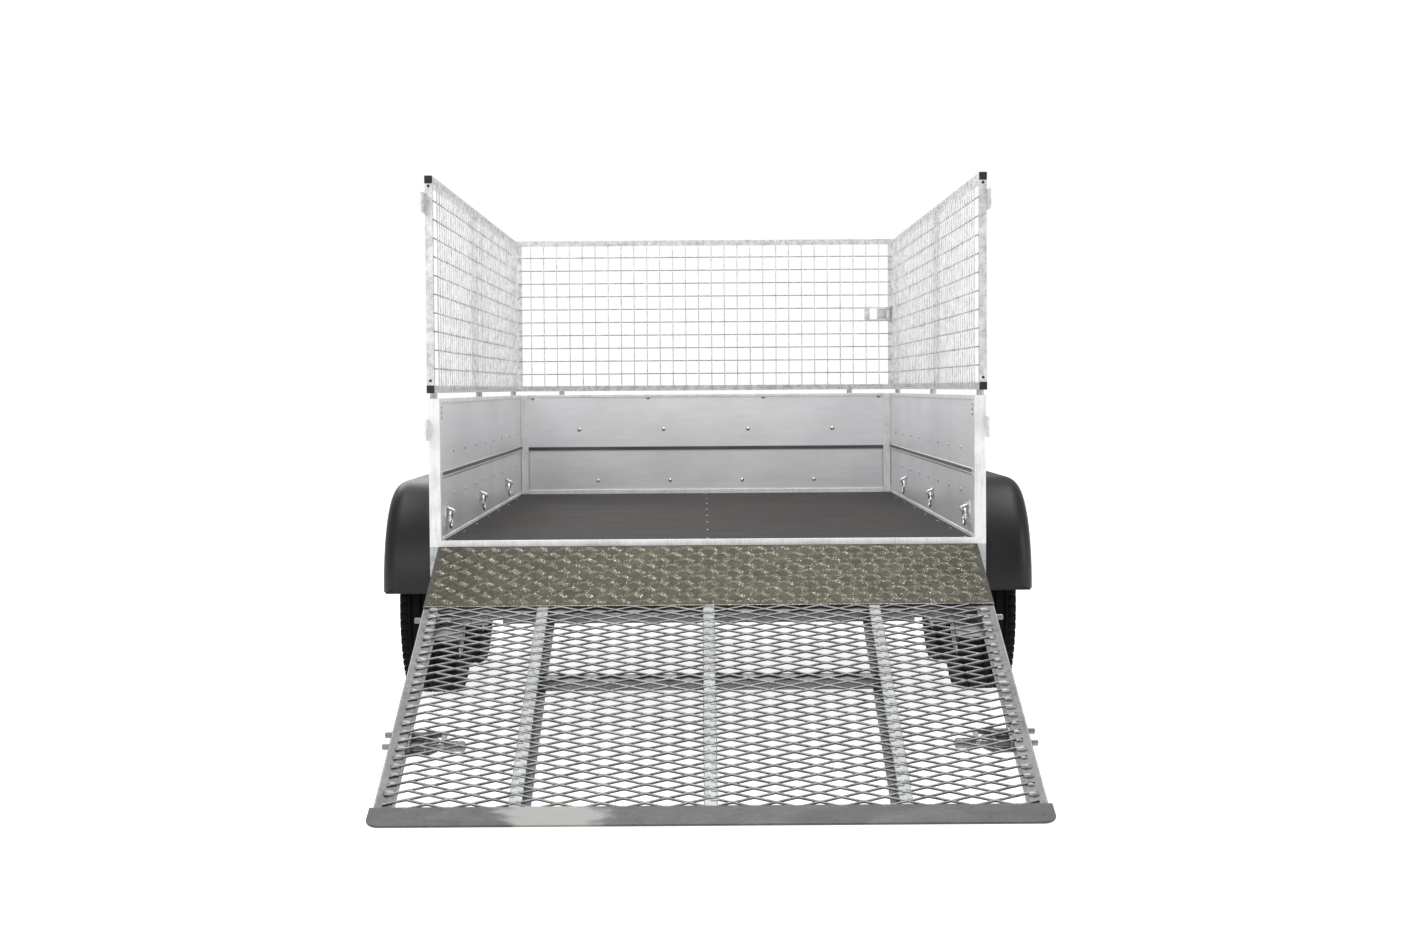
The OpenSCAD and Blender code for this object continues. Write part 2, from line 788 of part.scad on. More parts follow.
module drawbar() {
    head_y = drawbar_head_y();
    run_y = head_y - rear_y - bar_root_y;
    run_x = bar_root_x - bar_tip_x;
    turn = atan(run_x / run_y);
    color("silver") {
        from_rear() both_sides() intersection() {
            translate([bar_root_x, bar_root_y, 0]) rotate([0, 0, turn])
                tube([-bar_wide / 2, 0, member_foot - bar_deep],
                    [bar_wide / 2, norm([run_x, run_y]) + 20, member_foot], 1, bar_wall);
            block([0, bar_root_y - 50, 0], [1000, head_y - rear_y, 1000]);
        }
        block([-58, head_y, member_foot - bar_deep], [58, head_y + head_l, member_foot]);
    }
}

function drawbar_head_y() = tip_y - 34 - neck_l - head_l;

module coupling_body() {
    neck_r = 24;
    cup_r = 34;
    cup_h = 58;
    color("gray") difference() {
        union() {
            translate([0, 0, ball_z + 4]) rod_y(drawbar_head_y() + head_l, tip_y - cup_r, neck_r);
            translate([0, tip_y - cup_r, ball_z - 24]) cylinder(r = cup_r, h = cup_h);
        }
        translate([0, tip_y - cup_r, ball_z - 25]) cylinder(r = socket_r, h = 35);
    }
    color("gray") translate([0, tip_y - 110, 0]) both_sides()
        block([12, -14, ball_z + 26], [18, 14, ball_z + 56]);
}

module coupling_handle() {
    color("dimgray") translate([0, tip_y - 110, ball_z + 42]) {
        rod_x(-11.5, 11.5, 11);
        block([-11.5, -120, 4], [11.5, 0, 11]);
        block([-14, -170, 2], [14, -110, 18]);
    }
}

// ---------------------------------------------------------------- jockey wheel

module jockey_clamp() {
    low = member_foot - bar_deep - 6;
    high = member_foot + 30;
    color("silver") translate([jockey_x, jockey_y, 0]) difference() {
        union() {
            translate([0, 0, low]) cylinder(r = jockey_tube_r + 7, h = high - low);
            block([10, -22, low + 8], [60, 22, high - 34]);
            translate([-jockey_tube_r - 6, 0, low + 48]) rod_x(-42, 2, 7);
            translate([-jockey_tube_r - 48, 0, low + 48]) rod_y(-34, 34, 5);
        }
        translate([0, 0, low - 1]) cylinder(r = jockey_tube_r + run_gap, h = high - low + 2);
        jockey_bar_space();
    }
}

// The room that the drawbar's left tube takes beside the clamp
module jockey_bar_space() {
    head_y = drawbar_head_y();
    run_y = head_y - rear_y - bar_root_y;
    run_x = bar_root_x - bar_tip_x;
    translate([-bar_root_x - jockey_x, rear_y + bar_root_y - jockey_y, 0]) rotate([0, 0, -atan(run_x / run_y)])
        block([-bar_wide / 2, 0, member_foot - bar_deep], [bar_wide / 2 + 100, 2000, member_foot + 100]);
}

module jockey_tube() {
    tall = 640 - jockey_foot_z;
    color("silver") translate([jockey_x, jockey_y, jockey_foot_z]) difference() {
        cylinder(r = jockey_tube_r, h = tall);
        translate([0, 0, -1]) cylinder(r = jockey_tube_r - 3, h = tall - 5);
    }
}

module jockey_fork() {
    cheek_x = 30;
    crown_z = jockey_foot_z - 0.5;
    color("gray") translate([jockey_x, jockey_y, 0]) {
        cylinder_at(crown_z - 8, crown_z, 26);
        cylinder_at(crown_z, crown_z + 200, jockey_tube_r - 3.3);
        block([-cheek_x - 4, -16, crown_z - 12], [cheek_x + 4, 16, crown_z - 8]);
        both_sides() difference() {
            block([cheek_x, -14, jockey_wheel_r - 16], [cheek_x + 4, 14, crown_z - 12]);
            translate([0, 0, jockey_wheel_r]) rod_x(cheek_x - 1, cheek_x + 5, 8);
        }
        translate([0, 0, jockey_wheel_r]) rod_x(-cheek_x - 8, cheek_x + 8, 8);
    }
}

module cylinder_at(low, high, r) {
    translate([0, 0, low]) cylinder(r = r, h = high - low);
}

module jockey_wheel() {
    half = 25;
    color("black") translate([jockey_x, jockey_y, jockey_wheel_r]) rotate([0, 90, 0]) rotate_extrude($fn = 72)
        polygon([[8.05, -28], [22, -28], [22, -12], [60, -12], [62, -22], [88, -half], [jockey_wheel_r, -14],
            [jockey_wheel_r, 14], [88, half], [62, 22], [60, 12], [22, 12], [22, 28], [8.05, 28]]);
}

module jockey_crank() {
    color("gray") translate([jockey_x, jockey_y, 640.5]) {
        cylinder(r = 16, h = 14);
        block([-10, -8, 14], [100, 8, 20]);
        translate([90, 0, 20]) cylinder(r = 11, h = 70);
    }
}

// ---------------------------------------------------------------- the nodes

chassis_frame();
hinge_pins();
drawbar();
coupling_body();
coupling_handle();
floor_board();
floor_edge_trim();
floor_screws();
side_panel_left();
side_panel_right();
front_panel();
corner_posts();
panel_fasteners();
ring_brackets();
mesh_sockets();
rear_lamps();
axle_beams();
mudguard_left();
mudguard_right();
mesh_frame_left();
mesh_frame_right();
mesh_frame_front();
mesh_wires_left();
mesh_wires_right();
mesh_wires_front();
mesh_latch_base();
mesh_latch_lever();
ramp_frame();
ramp_mesh();
ramp_tread_plate();
ramp_lip();
ramp_bolt_guides();
jockey_clamp();
jockey_tube();
jockey_fork();
jockey_wheel();
jockey_crank();
for (r = RINGS) lashing_ring(r);
for (b = BOLTS) ramp_bolt(b);
for (w = WHEELS) {
    suspension_arm(w);
    wheel(w);
    tyre(w);
}
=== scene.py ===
"""Looks of a tandem-axle livestock trailer with mesh sides and a rear loading ramp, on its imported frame."""
import json
import math

import bmesh
import bpy
from mathutils import Matrix, Vector


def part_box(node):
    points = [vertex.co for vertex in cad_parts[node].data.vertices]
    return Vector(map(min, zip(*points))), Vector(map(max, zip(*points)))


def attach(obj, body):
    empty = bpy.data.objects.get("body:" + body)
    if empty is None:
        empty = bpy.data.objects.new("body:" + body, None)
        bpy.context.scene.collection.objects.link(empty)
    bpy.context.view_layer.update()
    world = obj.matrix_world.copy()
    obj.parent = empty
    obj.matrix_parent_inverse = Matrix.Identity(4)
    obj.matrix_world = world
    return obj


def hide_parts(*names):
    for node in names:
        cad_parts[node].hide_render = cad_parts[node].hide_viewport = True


bl_info = {
    "name": "Livestock trailer",
    "version": (1, 0, 0),
    "blender": (4, 5, 0),
    "location": "View3D > Sidebar > Trailer",
    "description": "Builds the shapes and finishes of a livestock trailer around its frame",
    "category": "Object",
}

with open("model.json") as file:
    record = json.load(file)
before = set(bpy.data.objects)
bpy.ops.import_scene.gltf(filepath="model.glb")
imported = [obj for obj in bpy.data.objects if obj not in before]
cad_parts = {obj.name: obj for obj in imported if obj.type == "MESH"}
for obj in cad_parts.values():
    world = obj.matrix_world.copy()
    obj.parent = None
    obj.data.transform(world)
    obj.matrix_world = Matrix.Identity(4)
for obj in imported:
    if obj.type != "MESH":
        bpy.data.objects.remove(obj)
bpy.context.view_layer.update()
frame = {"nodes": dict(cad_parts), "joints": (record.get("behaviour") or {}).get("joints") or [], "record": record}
SLOT_OF = {part["node"]: part["material_slot"] for part in frame["record"]["subparts"]}
JOINTS = {joint["name"]: joint for joint in frame["joints"]}

FLOOR_LOW, FLOOR_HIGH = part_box("floor_board")
REAR_Y = FLOOR_LOW.y
FLOOR_Z = FLOOR_HIGH.z
BED_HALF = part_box("floor_edge_trim")[1].x
SIDES = {"left": -1, "right": 1}
WHEELS = ["rear_left", "rear_right", "front_left", "front_right"]
RINGS = [f"ring_{side}_{i}" for side in SIDES for i in (1, 2, 3)]

# The lowered ramp's own frame: x across, -y down the slope, z square to it
RAMP_SLOPE = math.radians(JOINTS["ramp_fold"]["range_deg"][1] - 90)
RAMP = Matrix.Translation(JOINTS["ramp_fold"]["pos_m"]) @ Matrix.Rotation(RAMP_SLOPE, 4, "X")


def local_box(node, place):
    """Lowest and highest corner of a node's mesh in the frame of a placing matrix."""
    back = place.inverted()
    points = [back @ v.co for v in frame["nodes"][node].data.vertices]
    return (Vector([min(p[i] for p in points) for i in range(3)]),
            Vector([max(p[i] for p in points) for i in range(3)]))


def separate_parts(node):
    """Centre and size of each loose solid in a node."""
    shell = bmesh.new()
    shell.from_mesh(frame["nodes"][node].data)
    bmesh.ops.remove_doubles(shell, verts=shell.verts, dist=1e-6)
    waiting, found = set(shell.verts), []
    while waiting:
        group, edge = set(), [waiting.pop()]
        while edge:
            vert = edge.pop()
            group.add(vert)
            for link in vert.link_edges:
                other = link.other_vert(vert)
                if other in waiting:
                    waiting.remove(other)
                    edge.append(other)
        low = Vector([min(v.co[i] for v in group) for i in range(3)])
        high = Vector([max(v.co[i] for v in group) for i in range(3)])
        found.append(((low + high) / 2, high - low))
    shell.free()
    return sorted(found, key=lambda part: tuple(round(c, 5) for c in part[0]))


# ------------------------------------------------------------------ node trees


class Value:
    """One output socket. Arithmetic on it adds Math nodes."""

    def __init__(self, graph, socket):
        self.graph, self.socket = graph, socket

    def __add__(self, other):
        return self.graph.math("ADD", self, other)

    __radd__ = __add__

    def __sub__(self, other):
        return self.graph.math("SUBTRACT", self, other)

    def __rsub__(self, other):
        return self.graph.math("SUBTRACT", other, self)

    def __mul__(self, other):
        return self.graph.math("MULTIPLY", self, other)

    __rmul__ = __mul__

    def __truediv__(self, other):
        return self.graph.math("DIVIDE", self, other)

    def __mod__(self, other):
        return self.graph.math("FLOORED_MODULO", self, other)


class Graph:
    """A node tree that is written as Python calls."""

    def __init__(self, tree):
        self.tree = tree

    def feed(self, socket, value):
        if isinstance(value, Value):
            self.tree.links.new(value.socket, socket)
        else:
            socket.default_value = value

    def add(self, kind, settings=None, values=None, out=0):
        node = self.tree.nodes.new(kind)
        for key, value in (settings or {}).items():
            if key == "stops":
                ramp = node.color_ramp
                while len(ramp.elements) < len(value):
                    ramp.elements.new(0.5)
                for element, (place, colour) in zip(ramp.elements, value):
                    element.position, element.color = place, (*colour, 1)
            else:
                setattr(node, key, value)
        for key, value in (values or {}).items():
            self.feed(node.inputs[key], value)
        return Value(self, node.outputs[out])

    def math(self, operation, *values):
        return self.add("ShaderNodeMath", {"operation": operation}, dict(enumerate(values)))

    def floor(self, value):
        return self.math("FLOOR", value)

    def vector(self, x=0.0, y=0.0, z=0.0):
        return self.add("ShaderNodeCombineXYZ", None, {0: x, 1: y, 2: z})


class Finish(Graph):
    """A material whose colour, gloss and relief come from patterns in the piece's own space."""

    def __init__(self, name, **shader):
        self.material = bpy.data.materials.new(name)
        self.material.use_nodes = True
        super().__init__(self.material.node_tree)
        self.shader = self.tree.nodes["Principled BSDF"]
        self.where = self.add("ShaderNodeTexCoord", out="Object")
        for key, value in shader.items():
            self.shader.inputs[key.replace("_", " ").title().replace("Ior", "IOR")].default_value = value

    def at(self, scale=(1, 1, 1), turn=(0, 0, 0)):
        return self.add("ShaderNodeMapping", None, {"Vector": self.where, "Scale": scale, "Rotation": turn})

    def noise(self, scale, detail=3, rough=0.5, stretch=(1, 1, 1), warp=0.0):
        return self.add("ShaderNodeTexNoise", None, {
            "Vector": self.at(stretch), "Scale": scale, "Detail": detail, "Roughness": rough,
            "Distortion": warp}, "Fac")

    def cells(self, scale, stretch=(1, 1, 1)):
        """A random shade for each cell, as on a zinc spangle."""
        colour = self.add("ShaderNodeTexVoronoi", None, {"Vector": self.at(stretch), "Scale": scale}, "Color")
        return self.add("ShaderNodeSeparateColor", None, {0: colour})

    def rise(self, value, low, high):
        """0 below low, 1 above high and smooth between them."""
        return self.add("ShaderNodeMapRange", {"interpolation_type": "SMOOTHSTEP"},
                        {0: value, 1: low, 2: high})

    def ramp(self, value, *stops):
        return self.add("ShaderNodeValToRGB", {"stops": stops}, {0: value})

    def mix(self, share, first, second):
        ends = [(*c, 1) if isinstance(c, tuple) else c for c in (first, second)]
        return self.add("ShaderNodeMix", {"data_type": "RGBA"}, {0: share, 6: ends[0], 7: ends[1]}, 2)

    def relief(self, height, strength, distance):
        return self.add("ShaderNodeBump", None, {
            "Height": height, "Strength": strength, "Distance": distance})

    def done(self, colour, roughness=None, normal=None, metallic=None):
        for key, value in (("Base Color", colour), ("Roughness", roughness), ("Normal", normal),
                           ("Metallic", metallic)):
            if value is not None:
                self.feed(self.shader.inputs[key], value)
        return self.material


class Pattern(Graph):
    """A Geometry Nodes tree with named inputs that ends in plain, painted mesh."""

    KINDS = {float: "NodeSocketFloat", int: "NodeSocketInt", tuple: "NodeSocketVector"}

    def __init__(self, name, **inputs):
        self.group = bpy.data.node_groups.new(name, "GeometryNodeTree")
        super().__init__(self.group)
        face = self.group.interface
        face.new_socket("Geometry", in_out="INPUT", socket_type="NodeSocketGeometry")
        for key, value in inputs.items():
            socket = face.new_socket(key, in_out="INPUT", socket_type=self.KINDS[type(value)])
            socket.default_value = value
        face.new_socket("Geometry", in_out="OUTPUT", socket_type="NodeSocketGeometry")
        self.start = self.tree.nodes.new("NodeGroupInput")
        self.index = self.add("GeometryNodeInputIndex")

    def __getitem__(self, key):
        return Value(self, self.start.outputs[key])

    def line(self, count, step):
        return self.add("GeometryNodeMeshLine", None, {"Count": count, "Offset": step})

    def shift(self, geometry, position=None, offset=None):
        values = {"Geometry": geometry}
        if position is not None:
            values["Position"] = position
        if offset is not None:
            values["Offset"] = offset
        return self.add("GeometryNodeSetPosition", None, values)

    def join(self, *parts):
        node = self.tree.nodes.new("GeometryNodeJoinGeometry")
        for part in reversed(parts):
            self.tree.links.new(part.socket, node.inputs[0])
        return Value(self, node.outputs[0])

    def copies(self, points, item, turn=(0, 0, 0), scale=(1, 1, 1)):
        turned = self.add("FunctionNodeEulerToRotation", None, {0: turn})
        return self.add("GeometryNodeInstanceOnPoints", None, {
            "Points": points, "Instance": item, "Rotation": turned, "Scale": scale})

    def solid(self, geometry):
        return self.add("GeometryNodeRealizeInstances", None, {0: geometry})

    def seeded(self, low, high, seed):
        return self.add("FunctionNodeRandomValue", {"data_type": "FLOAT"}, {2: low, 3: high, "Seed": seed}, 1)

    def close(self, geometry, material):
        painted = self.add("GeometryNodeSetMaterial", None,
                           {"Geometry": self.solid(geometry), "Material": material})
        smooth = self.add("GeometryNodeSetShadeSmooth", None, {"Geometry": painted, "Shade Smooth": True})
        end = self.tree.nodes.new("NodeGroupOutput")
        self.tree.links.new(smooth.socket, end.inputs[0])
        return self

    def grow(self, points=(), **values):
        """The tree's result as a plain mesh, from loose points and a value for each named input."""
        mesh = bpy.data.meshes.new("seed")
        mesh.from_pydata([tuple(p) for p in points] or [(0, 0, 0)], [], [])
        inputs = {item.identifier: values[item.name] for item in self.group.interface.items_tree
                  if item.in_out == "INPUT" and item.name in values}
        return applied(mesh, ("NODES", {"node_group": self.group, **inputs}))


def applied(mesh, *modifiers):
    """A new mesh with modifiers applied, each one given as its type and its settings."""
    thing = bpy.data.objects.new("seed", mesh)
    bpy.context.scene.collection.objects.link(thing)
    for kind, settings in modifiers:
        modifier = thing.modifiers.new("shape", kind)
        for key, value in settings.items():
            if key.startswith("Socket"):
                modifier[key] = value
            else:
                setattr(modifier, key, value)
    made = bpy.data.meshes.new_from_object(thing.evaluated_get(bpy.context.evaluated_depsgraph_get()))
    thing.modifiers.clear()
    bpy.data.objects.remove(thing)
    bpy.data.meshes.remove(mesh)
    return made


def around(steps):
    """Angles spread evenly over one turn."""
    return [2 * math.pi * k / steps for k in range(steps)]


# ------------------------------------------------------------------ finishes


def galvanised(name, dark, light, metallic=0.72, rough=0.36, size=1.0):
    """Hot-dip zinc: spangle cells, cloudy patches, drips of white bloom and a pebbled skin."""
    paint = Finish(name, metallic=metallic)
    cloud = paint.noise(7 / size, 5, 0.62, warp=0.6)
    cell = paint.cells(70 / size)
    small = paint.noise(160 / size, 4, 0.7)
    grain = paint.noise(900, 2)
    tone = cloud * 0.5 + cell * 0.2 + small * 0.3
    bloom = paint.rise(paint.noise(23 / size, 6, 0.75, warp=1.2), 0.58, 0.72)
    middle = tuple((a + b) / 2 for a, b in zip(dark, light))
    colour = paint.ramp(tone, (0.3, dark), (0.5, middle), (0.72, light))
    colour = paint.mix(bloom * 0.45, colour, tuple(min(1.0, c * 1.22) for c in light))
    normal = paint.relief(small * 0.7 + grain * 0.3, 0.35, 0.0012)
    return paint.done(colour, rough + 0.22 * cell + 0.2 * bloom - 0.1 * small, normal)


def wall_sheet():
    """Smooth rolled sheet with soft rolling streaks, slight buckles and a few specks."""
    paint = Finish("wall_sheet", metallic=0.5)
    streak = paint.noise(9, 4, 0.6, (1, 0.12, 6))
    fine = paint.noise(60, 3, 0.7, (1, 0.05, 9))
    speck = paint.rise(paint.noise(210, 2, 0.5), 0.735, 0.765)
    smear = paint.noise(3.1, 3, 0.55)
    colour = paint.ramp(streak * 0.35 + smear * 0.65, (0.3, (0.71, 0.715, 0.73)), (0.7, (0.88, 0.885, 0.895)))
    colour = paint.mix(speck * 0.7, colour, (0.30, 0.29, 0.28))
    normal = paint.relief(smear * 0.9 + fine * 0.02, 0.25, 0.012)
    return paint.done(colour, 0.2 + 0.16 * fine + 0.1 * streak, normal)


def post():
    paint = Finish("post", metallic=0.25)
    streak = paint.noise(30, 3, 0.6, (6, 6, 0.4))
    patch = paint.noise(14, 5, 0.7)
    colour = paint.ramp(streak * 0.4 + patch * 0.6, (0.32, (0.62, 0.62, 0.61)), (0.5, (0.82, 0.82, 0.82)),
                        (0.68, (0.93, 0.93, 0.93)))
    return paint.done(colour, 0.3 + 0.3 * patch, paint.relief(patch, 0.2, 0.0008))


def wire(name, *stops):
    paint = Finish(name, metallic=0.4)
    patch = paint.noise(45, 4, 0.7)
    drip = paint.noise(260, 2, 0.6)
    colour = paint.ramp(patch * 0.7 + drip * 0.3, *zip((0.34, 0.5, 0.66), stops))
    return paint.done(colour, 0.25 + 0.35 * drip, paint.relief(drip, 0.3, 0.0006))


def floor():
    """Dark film-faced plywood: scuffs across the bed, dust in soft patches and fine film texture."""
    paint = Finish("floor", metallic=0.0, specular_ior_level=0.22)
    scuff = paint.rise(paint.noise(16, 6, 0.75, (0.25, 2.2, 1)), 0.5, 0.72)
    dust = paint.noise(3.4, 5, 0.65)
    film = paint.noise(520, 2, 0.5)
    colour = paint.ramp(dust, (0.3, (0.020, 0.018, 0.0165)), (0.7, (0.043, 0.039, 0.036)))
    colour = paint.mix(scuff * 0.4, colour, (0.085, 0.079, 0.073))
    return paint.done(colour, 0.55 + 0.25 * dust - 0.12 * scuff,
                      paint.relief(film * 0.6 + scuff * 0.2, 0.2, 0.0006))


def tread_plate():
    """Dull aluminium plate with brown haze between its bars and rubbed patches."""
    paint = Finish("tread_plate", metallic=0.7)
    haze = paint.noise(11, 5, 0.65, warp=0.8)
    grain = paint.noise(330, 3, 0.6)
    rub = paint.rise(paint.noise(60, 5, 0.7), 0.52, 0.7)
    colour = paint.ramp(haze * 0.7 + grain * 0.3, (0.3, (0.026, 0.0235, 0.0155)),
                        (0.52, (0.056, 0.051, 0.036)),
                        (0.75, (0.105, 0.097, 0.072)))
    colour = paint.mix(rub * 0.16, colour, (0.20, 0.187, 0.15))
    return paint.done(colour, 0.4 + 0.22 * grain - 0.08 * rub, paint.relief(grain, 0.3, 0.0006))


def bars_finish():
    """The raised bars of the tread plate, rubbed bright, with near-white patches that are painted glints."""
    paint = Finish("tread_bars", metallic=0.85)
    wear_and_glint = paint.noise(320, 2, 0.6)
    # The near-white top stop paints glints on the bars over their rubbed wear.
    colour = paint.ramp(wear_and_glint, (0.35, (0.085, 0.078, 0.058)), (0.56, (0.23, 0.216, 0.17)),
                        (0.70, (0.85, 0.83, 0.75)))
    return paint.done(colour, 0.1 + 0.14 * wear_and_glint)


def plated(name, dark, light, rough):
    """Zinc or chrome plating with a slight grain and a few dull spots."""
    paint = Finish(name, metallic=0.92)
    dull = paint.noise(130, 4, 0.7)
    grain = paint.noise(700, 2)
    colour = paint.ramp(dull, (0.35, dark), (0.6, light))
    return paint.done(colour, rough + 0.25 * dull, paint.relief(grain, 0.1, 0.0003))


def moulding(name, dark, light, rough, pebble=420, gloss=0.3):
    """Black moulded plastic or rubber with a fine pebble and a grey bloom."""
    paint = Finish(name, specular_ior_level=gloss)
    bloom = paint.noise(5, 4, 0.6)
    grain = paint.noise(pebble, 3, 0.6)
    scrape = paint.rise(paint.noise(30, 5, 0.7, (1, 1, 0.2)), 0.62, 0.8)
    colour = paint.mix(scrape * 0.35, paint.ramp(bloom, (0.3, dark), (0.7, light)),
                       tuple(c * 2.2 for c in light))
    return paint.done(colour, rough + 0.15 * bloom + 0.1 * scrape, paint.relief(grain, 0.35, 0.0005))


def lens():
    paint = Finish("lamp_lens", coat_weight=0.6, coat_roughness=0.08)
    flute = paint.add("ShaderNodeTexWave", {"bands_direction": "Z"}, {"Vector": paint.where, "Scale": 60.0},
                      "Fac")
    haze = paint.noise(40, 3)
    colour = paint.ramp(flute * 0.5 + haze * 0.5, (0.3, (0.25, 0.008, 0.01)), (0.7, (0.55, 0.03, 0.03)))
    return paint.done(colour, 0.2 + 0.2 * haze, paint.relief(flute, 0.4, 0.001))


def lip_zinc():
    """Grey scuffed zinc with one long pale patch left of its middle."""
    paint = Finish("lip_zinc", metallic=0.6)
    cloud = paint.noise(9, 6, 0.7, (0.6, 1.4, 1), warp=0.9)
    fine = paint.noise(110, 4, 0.7)
    across = paint.add("ShaderNodeSeparateXYZ", None, {0: paint.where}, "X")
    off = paint.math("ABSOLUTE", across + 0.33 + (cloud - 0.5) * 0.25)
    pale_patch = 1 - paint.rise(off, 0.07, 0.13)
    dark = paint.rise(paint.noise(26, 5, 0.75, warp=1.5), 0.56, 0.68)
    colour = paint.ramp(cloud * 0.65 + fine * 0.35, (0.3, (0.045, 0.046, 0.049)),
                        (0.52, (0.088, 0.090, 0.093)),
                        (0.72, (0.15, 0.152, 0.155)))
    colour = paint.mix(dark * 0.55, colour, (0.034, 0.035, 0.038))
    colour = paint.mix(pale_patch * 0.7, colour, (0.30, 0.295, 0.28))
    return paint.done(colour, 0.34 + 0.25 * fine - 0.08 * pale_patch, paint.relief(fine, 0.35, 0.001))


MADE = {}
RECIPES = {
    "galvanised": lambda: galvanised("galvanised", (0.24, 0.245, 0.25), (0.62, 0.63, 0.635)),
    # galvanised_dark is the same zinc made darker: painted shade on the ramp bars' sides and foot flanges
    "galvanised_dark": lambda: galvanised("galvanised_dark", (0.065, 0.067, 0.07), (0.24, 0.243, 0.247)),
    "strand": lambda: galvanised("strand_zinc", (0.17, 0.172, 0.175), (0.46, 0.465, 0.47), size=0.6),
    # The strand zinc made near black: painted shade on the strands' undersides
    "strand_under": lambda: galvanised("strand_under", (0.02, 0.021, 0.022), (0.10, 0.102, 0.105), size=0.6),
    "bar_top": lambda: galvanised("bar_top", (0.17, 0.178, 0.178), (0.46, 0.47, 0.468), rough=0.34,
                                  size=0.22),
    "bolt": lambda: galvanised("bolt_zinc", (0.13, 0.132, 0.136), (0.34, 0.343, 0.35), size=0.5),
    "lip": lip_zinc,
    "weld": lambda: galvanised("weld_zinc", (0.17, 0.175, 0.178), (0.46, 0.465, 0.47), rough=0.34, size=0.3),
    "wall_sheet": wall_sheet,
    "post": post,
    "wire": lambda: wire("wire", (0.36, 0.365, 0.37), (0.60, 0.605, 0.61), (0.80, 0.80, 0.805)),
    # The wire zinc made darker: painted shade on the inner layer of long wires behind the uprights
    "long_wires_painted_shade": lambda: wire("long_wires_painted_shade", (0.16, 0.162, 0.165), (0.32, 0.323, 0.326), (0.55, 0.555, 0.56)),
    "upright_wires": lambda: wire("upright_wires", (0.38, 0.385, 0.39), (0.66, 0.665, 0.67),
                                  (0.86, 0.86, 0.865)),
    "floor": floor,
    "tread_plate": tread_plate,
    "tread_bars": bars_finish,
    "fastener": lambda: plated("fastener", (0.42, 0.42, 0.43), (0.78, 0.79, 0.8), 0.22),
    "ring": lambda: plated("ring", (0.5, 0.5, 0.51), (0.86, 0.87, 0.88), 0.08),
    "mudguard": lambda: moulding("mudguard", (0.006, 0.006, 0.0065), (0.012, 0.012, 0.013), 0.36),
    "tyre": lambda: moulding("tyre", (0.002, 0.002, 0.002), (0.006, 0.006, 0.006), 0.75, 260, 0.1),
    "jockey_tyre": lambda: moulding("jockey_tyre", (0.02, 0.02, 0.02), (0.04, 0.04, 0.04), 0.55),
    "grip": lambda: moulding("grip", (0.025, 0.025, 0.026), (0.05, 0.05, 0.052), 0.35),
    # A near-black moulding used as the painted shadow line under the walls' beads
    "bead_painted_shadow": lambda: moulding("bead_painted_shadow", (0.06, 0.06, 0.063), (0.11, 0.11, 0.115), 0.35),
    "plug": lambda: moulding("plug", (0.01, 0.01, 0.01), (0.022, 0.022, 0.022), 0.4),
    "rim": lambda: plated("rim", (0.45, 0.455, 0.46), (0.62, 0.625, 0.63), 0.3),
    "lamp": lens,
}


def finish(name):
    if name not in MADE:
        MADE[name] = RECIPES[name]()
    return MADE[name]


# ------------------------------------------------------------------ mesh code


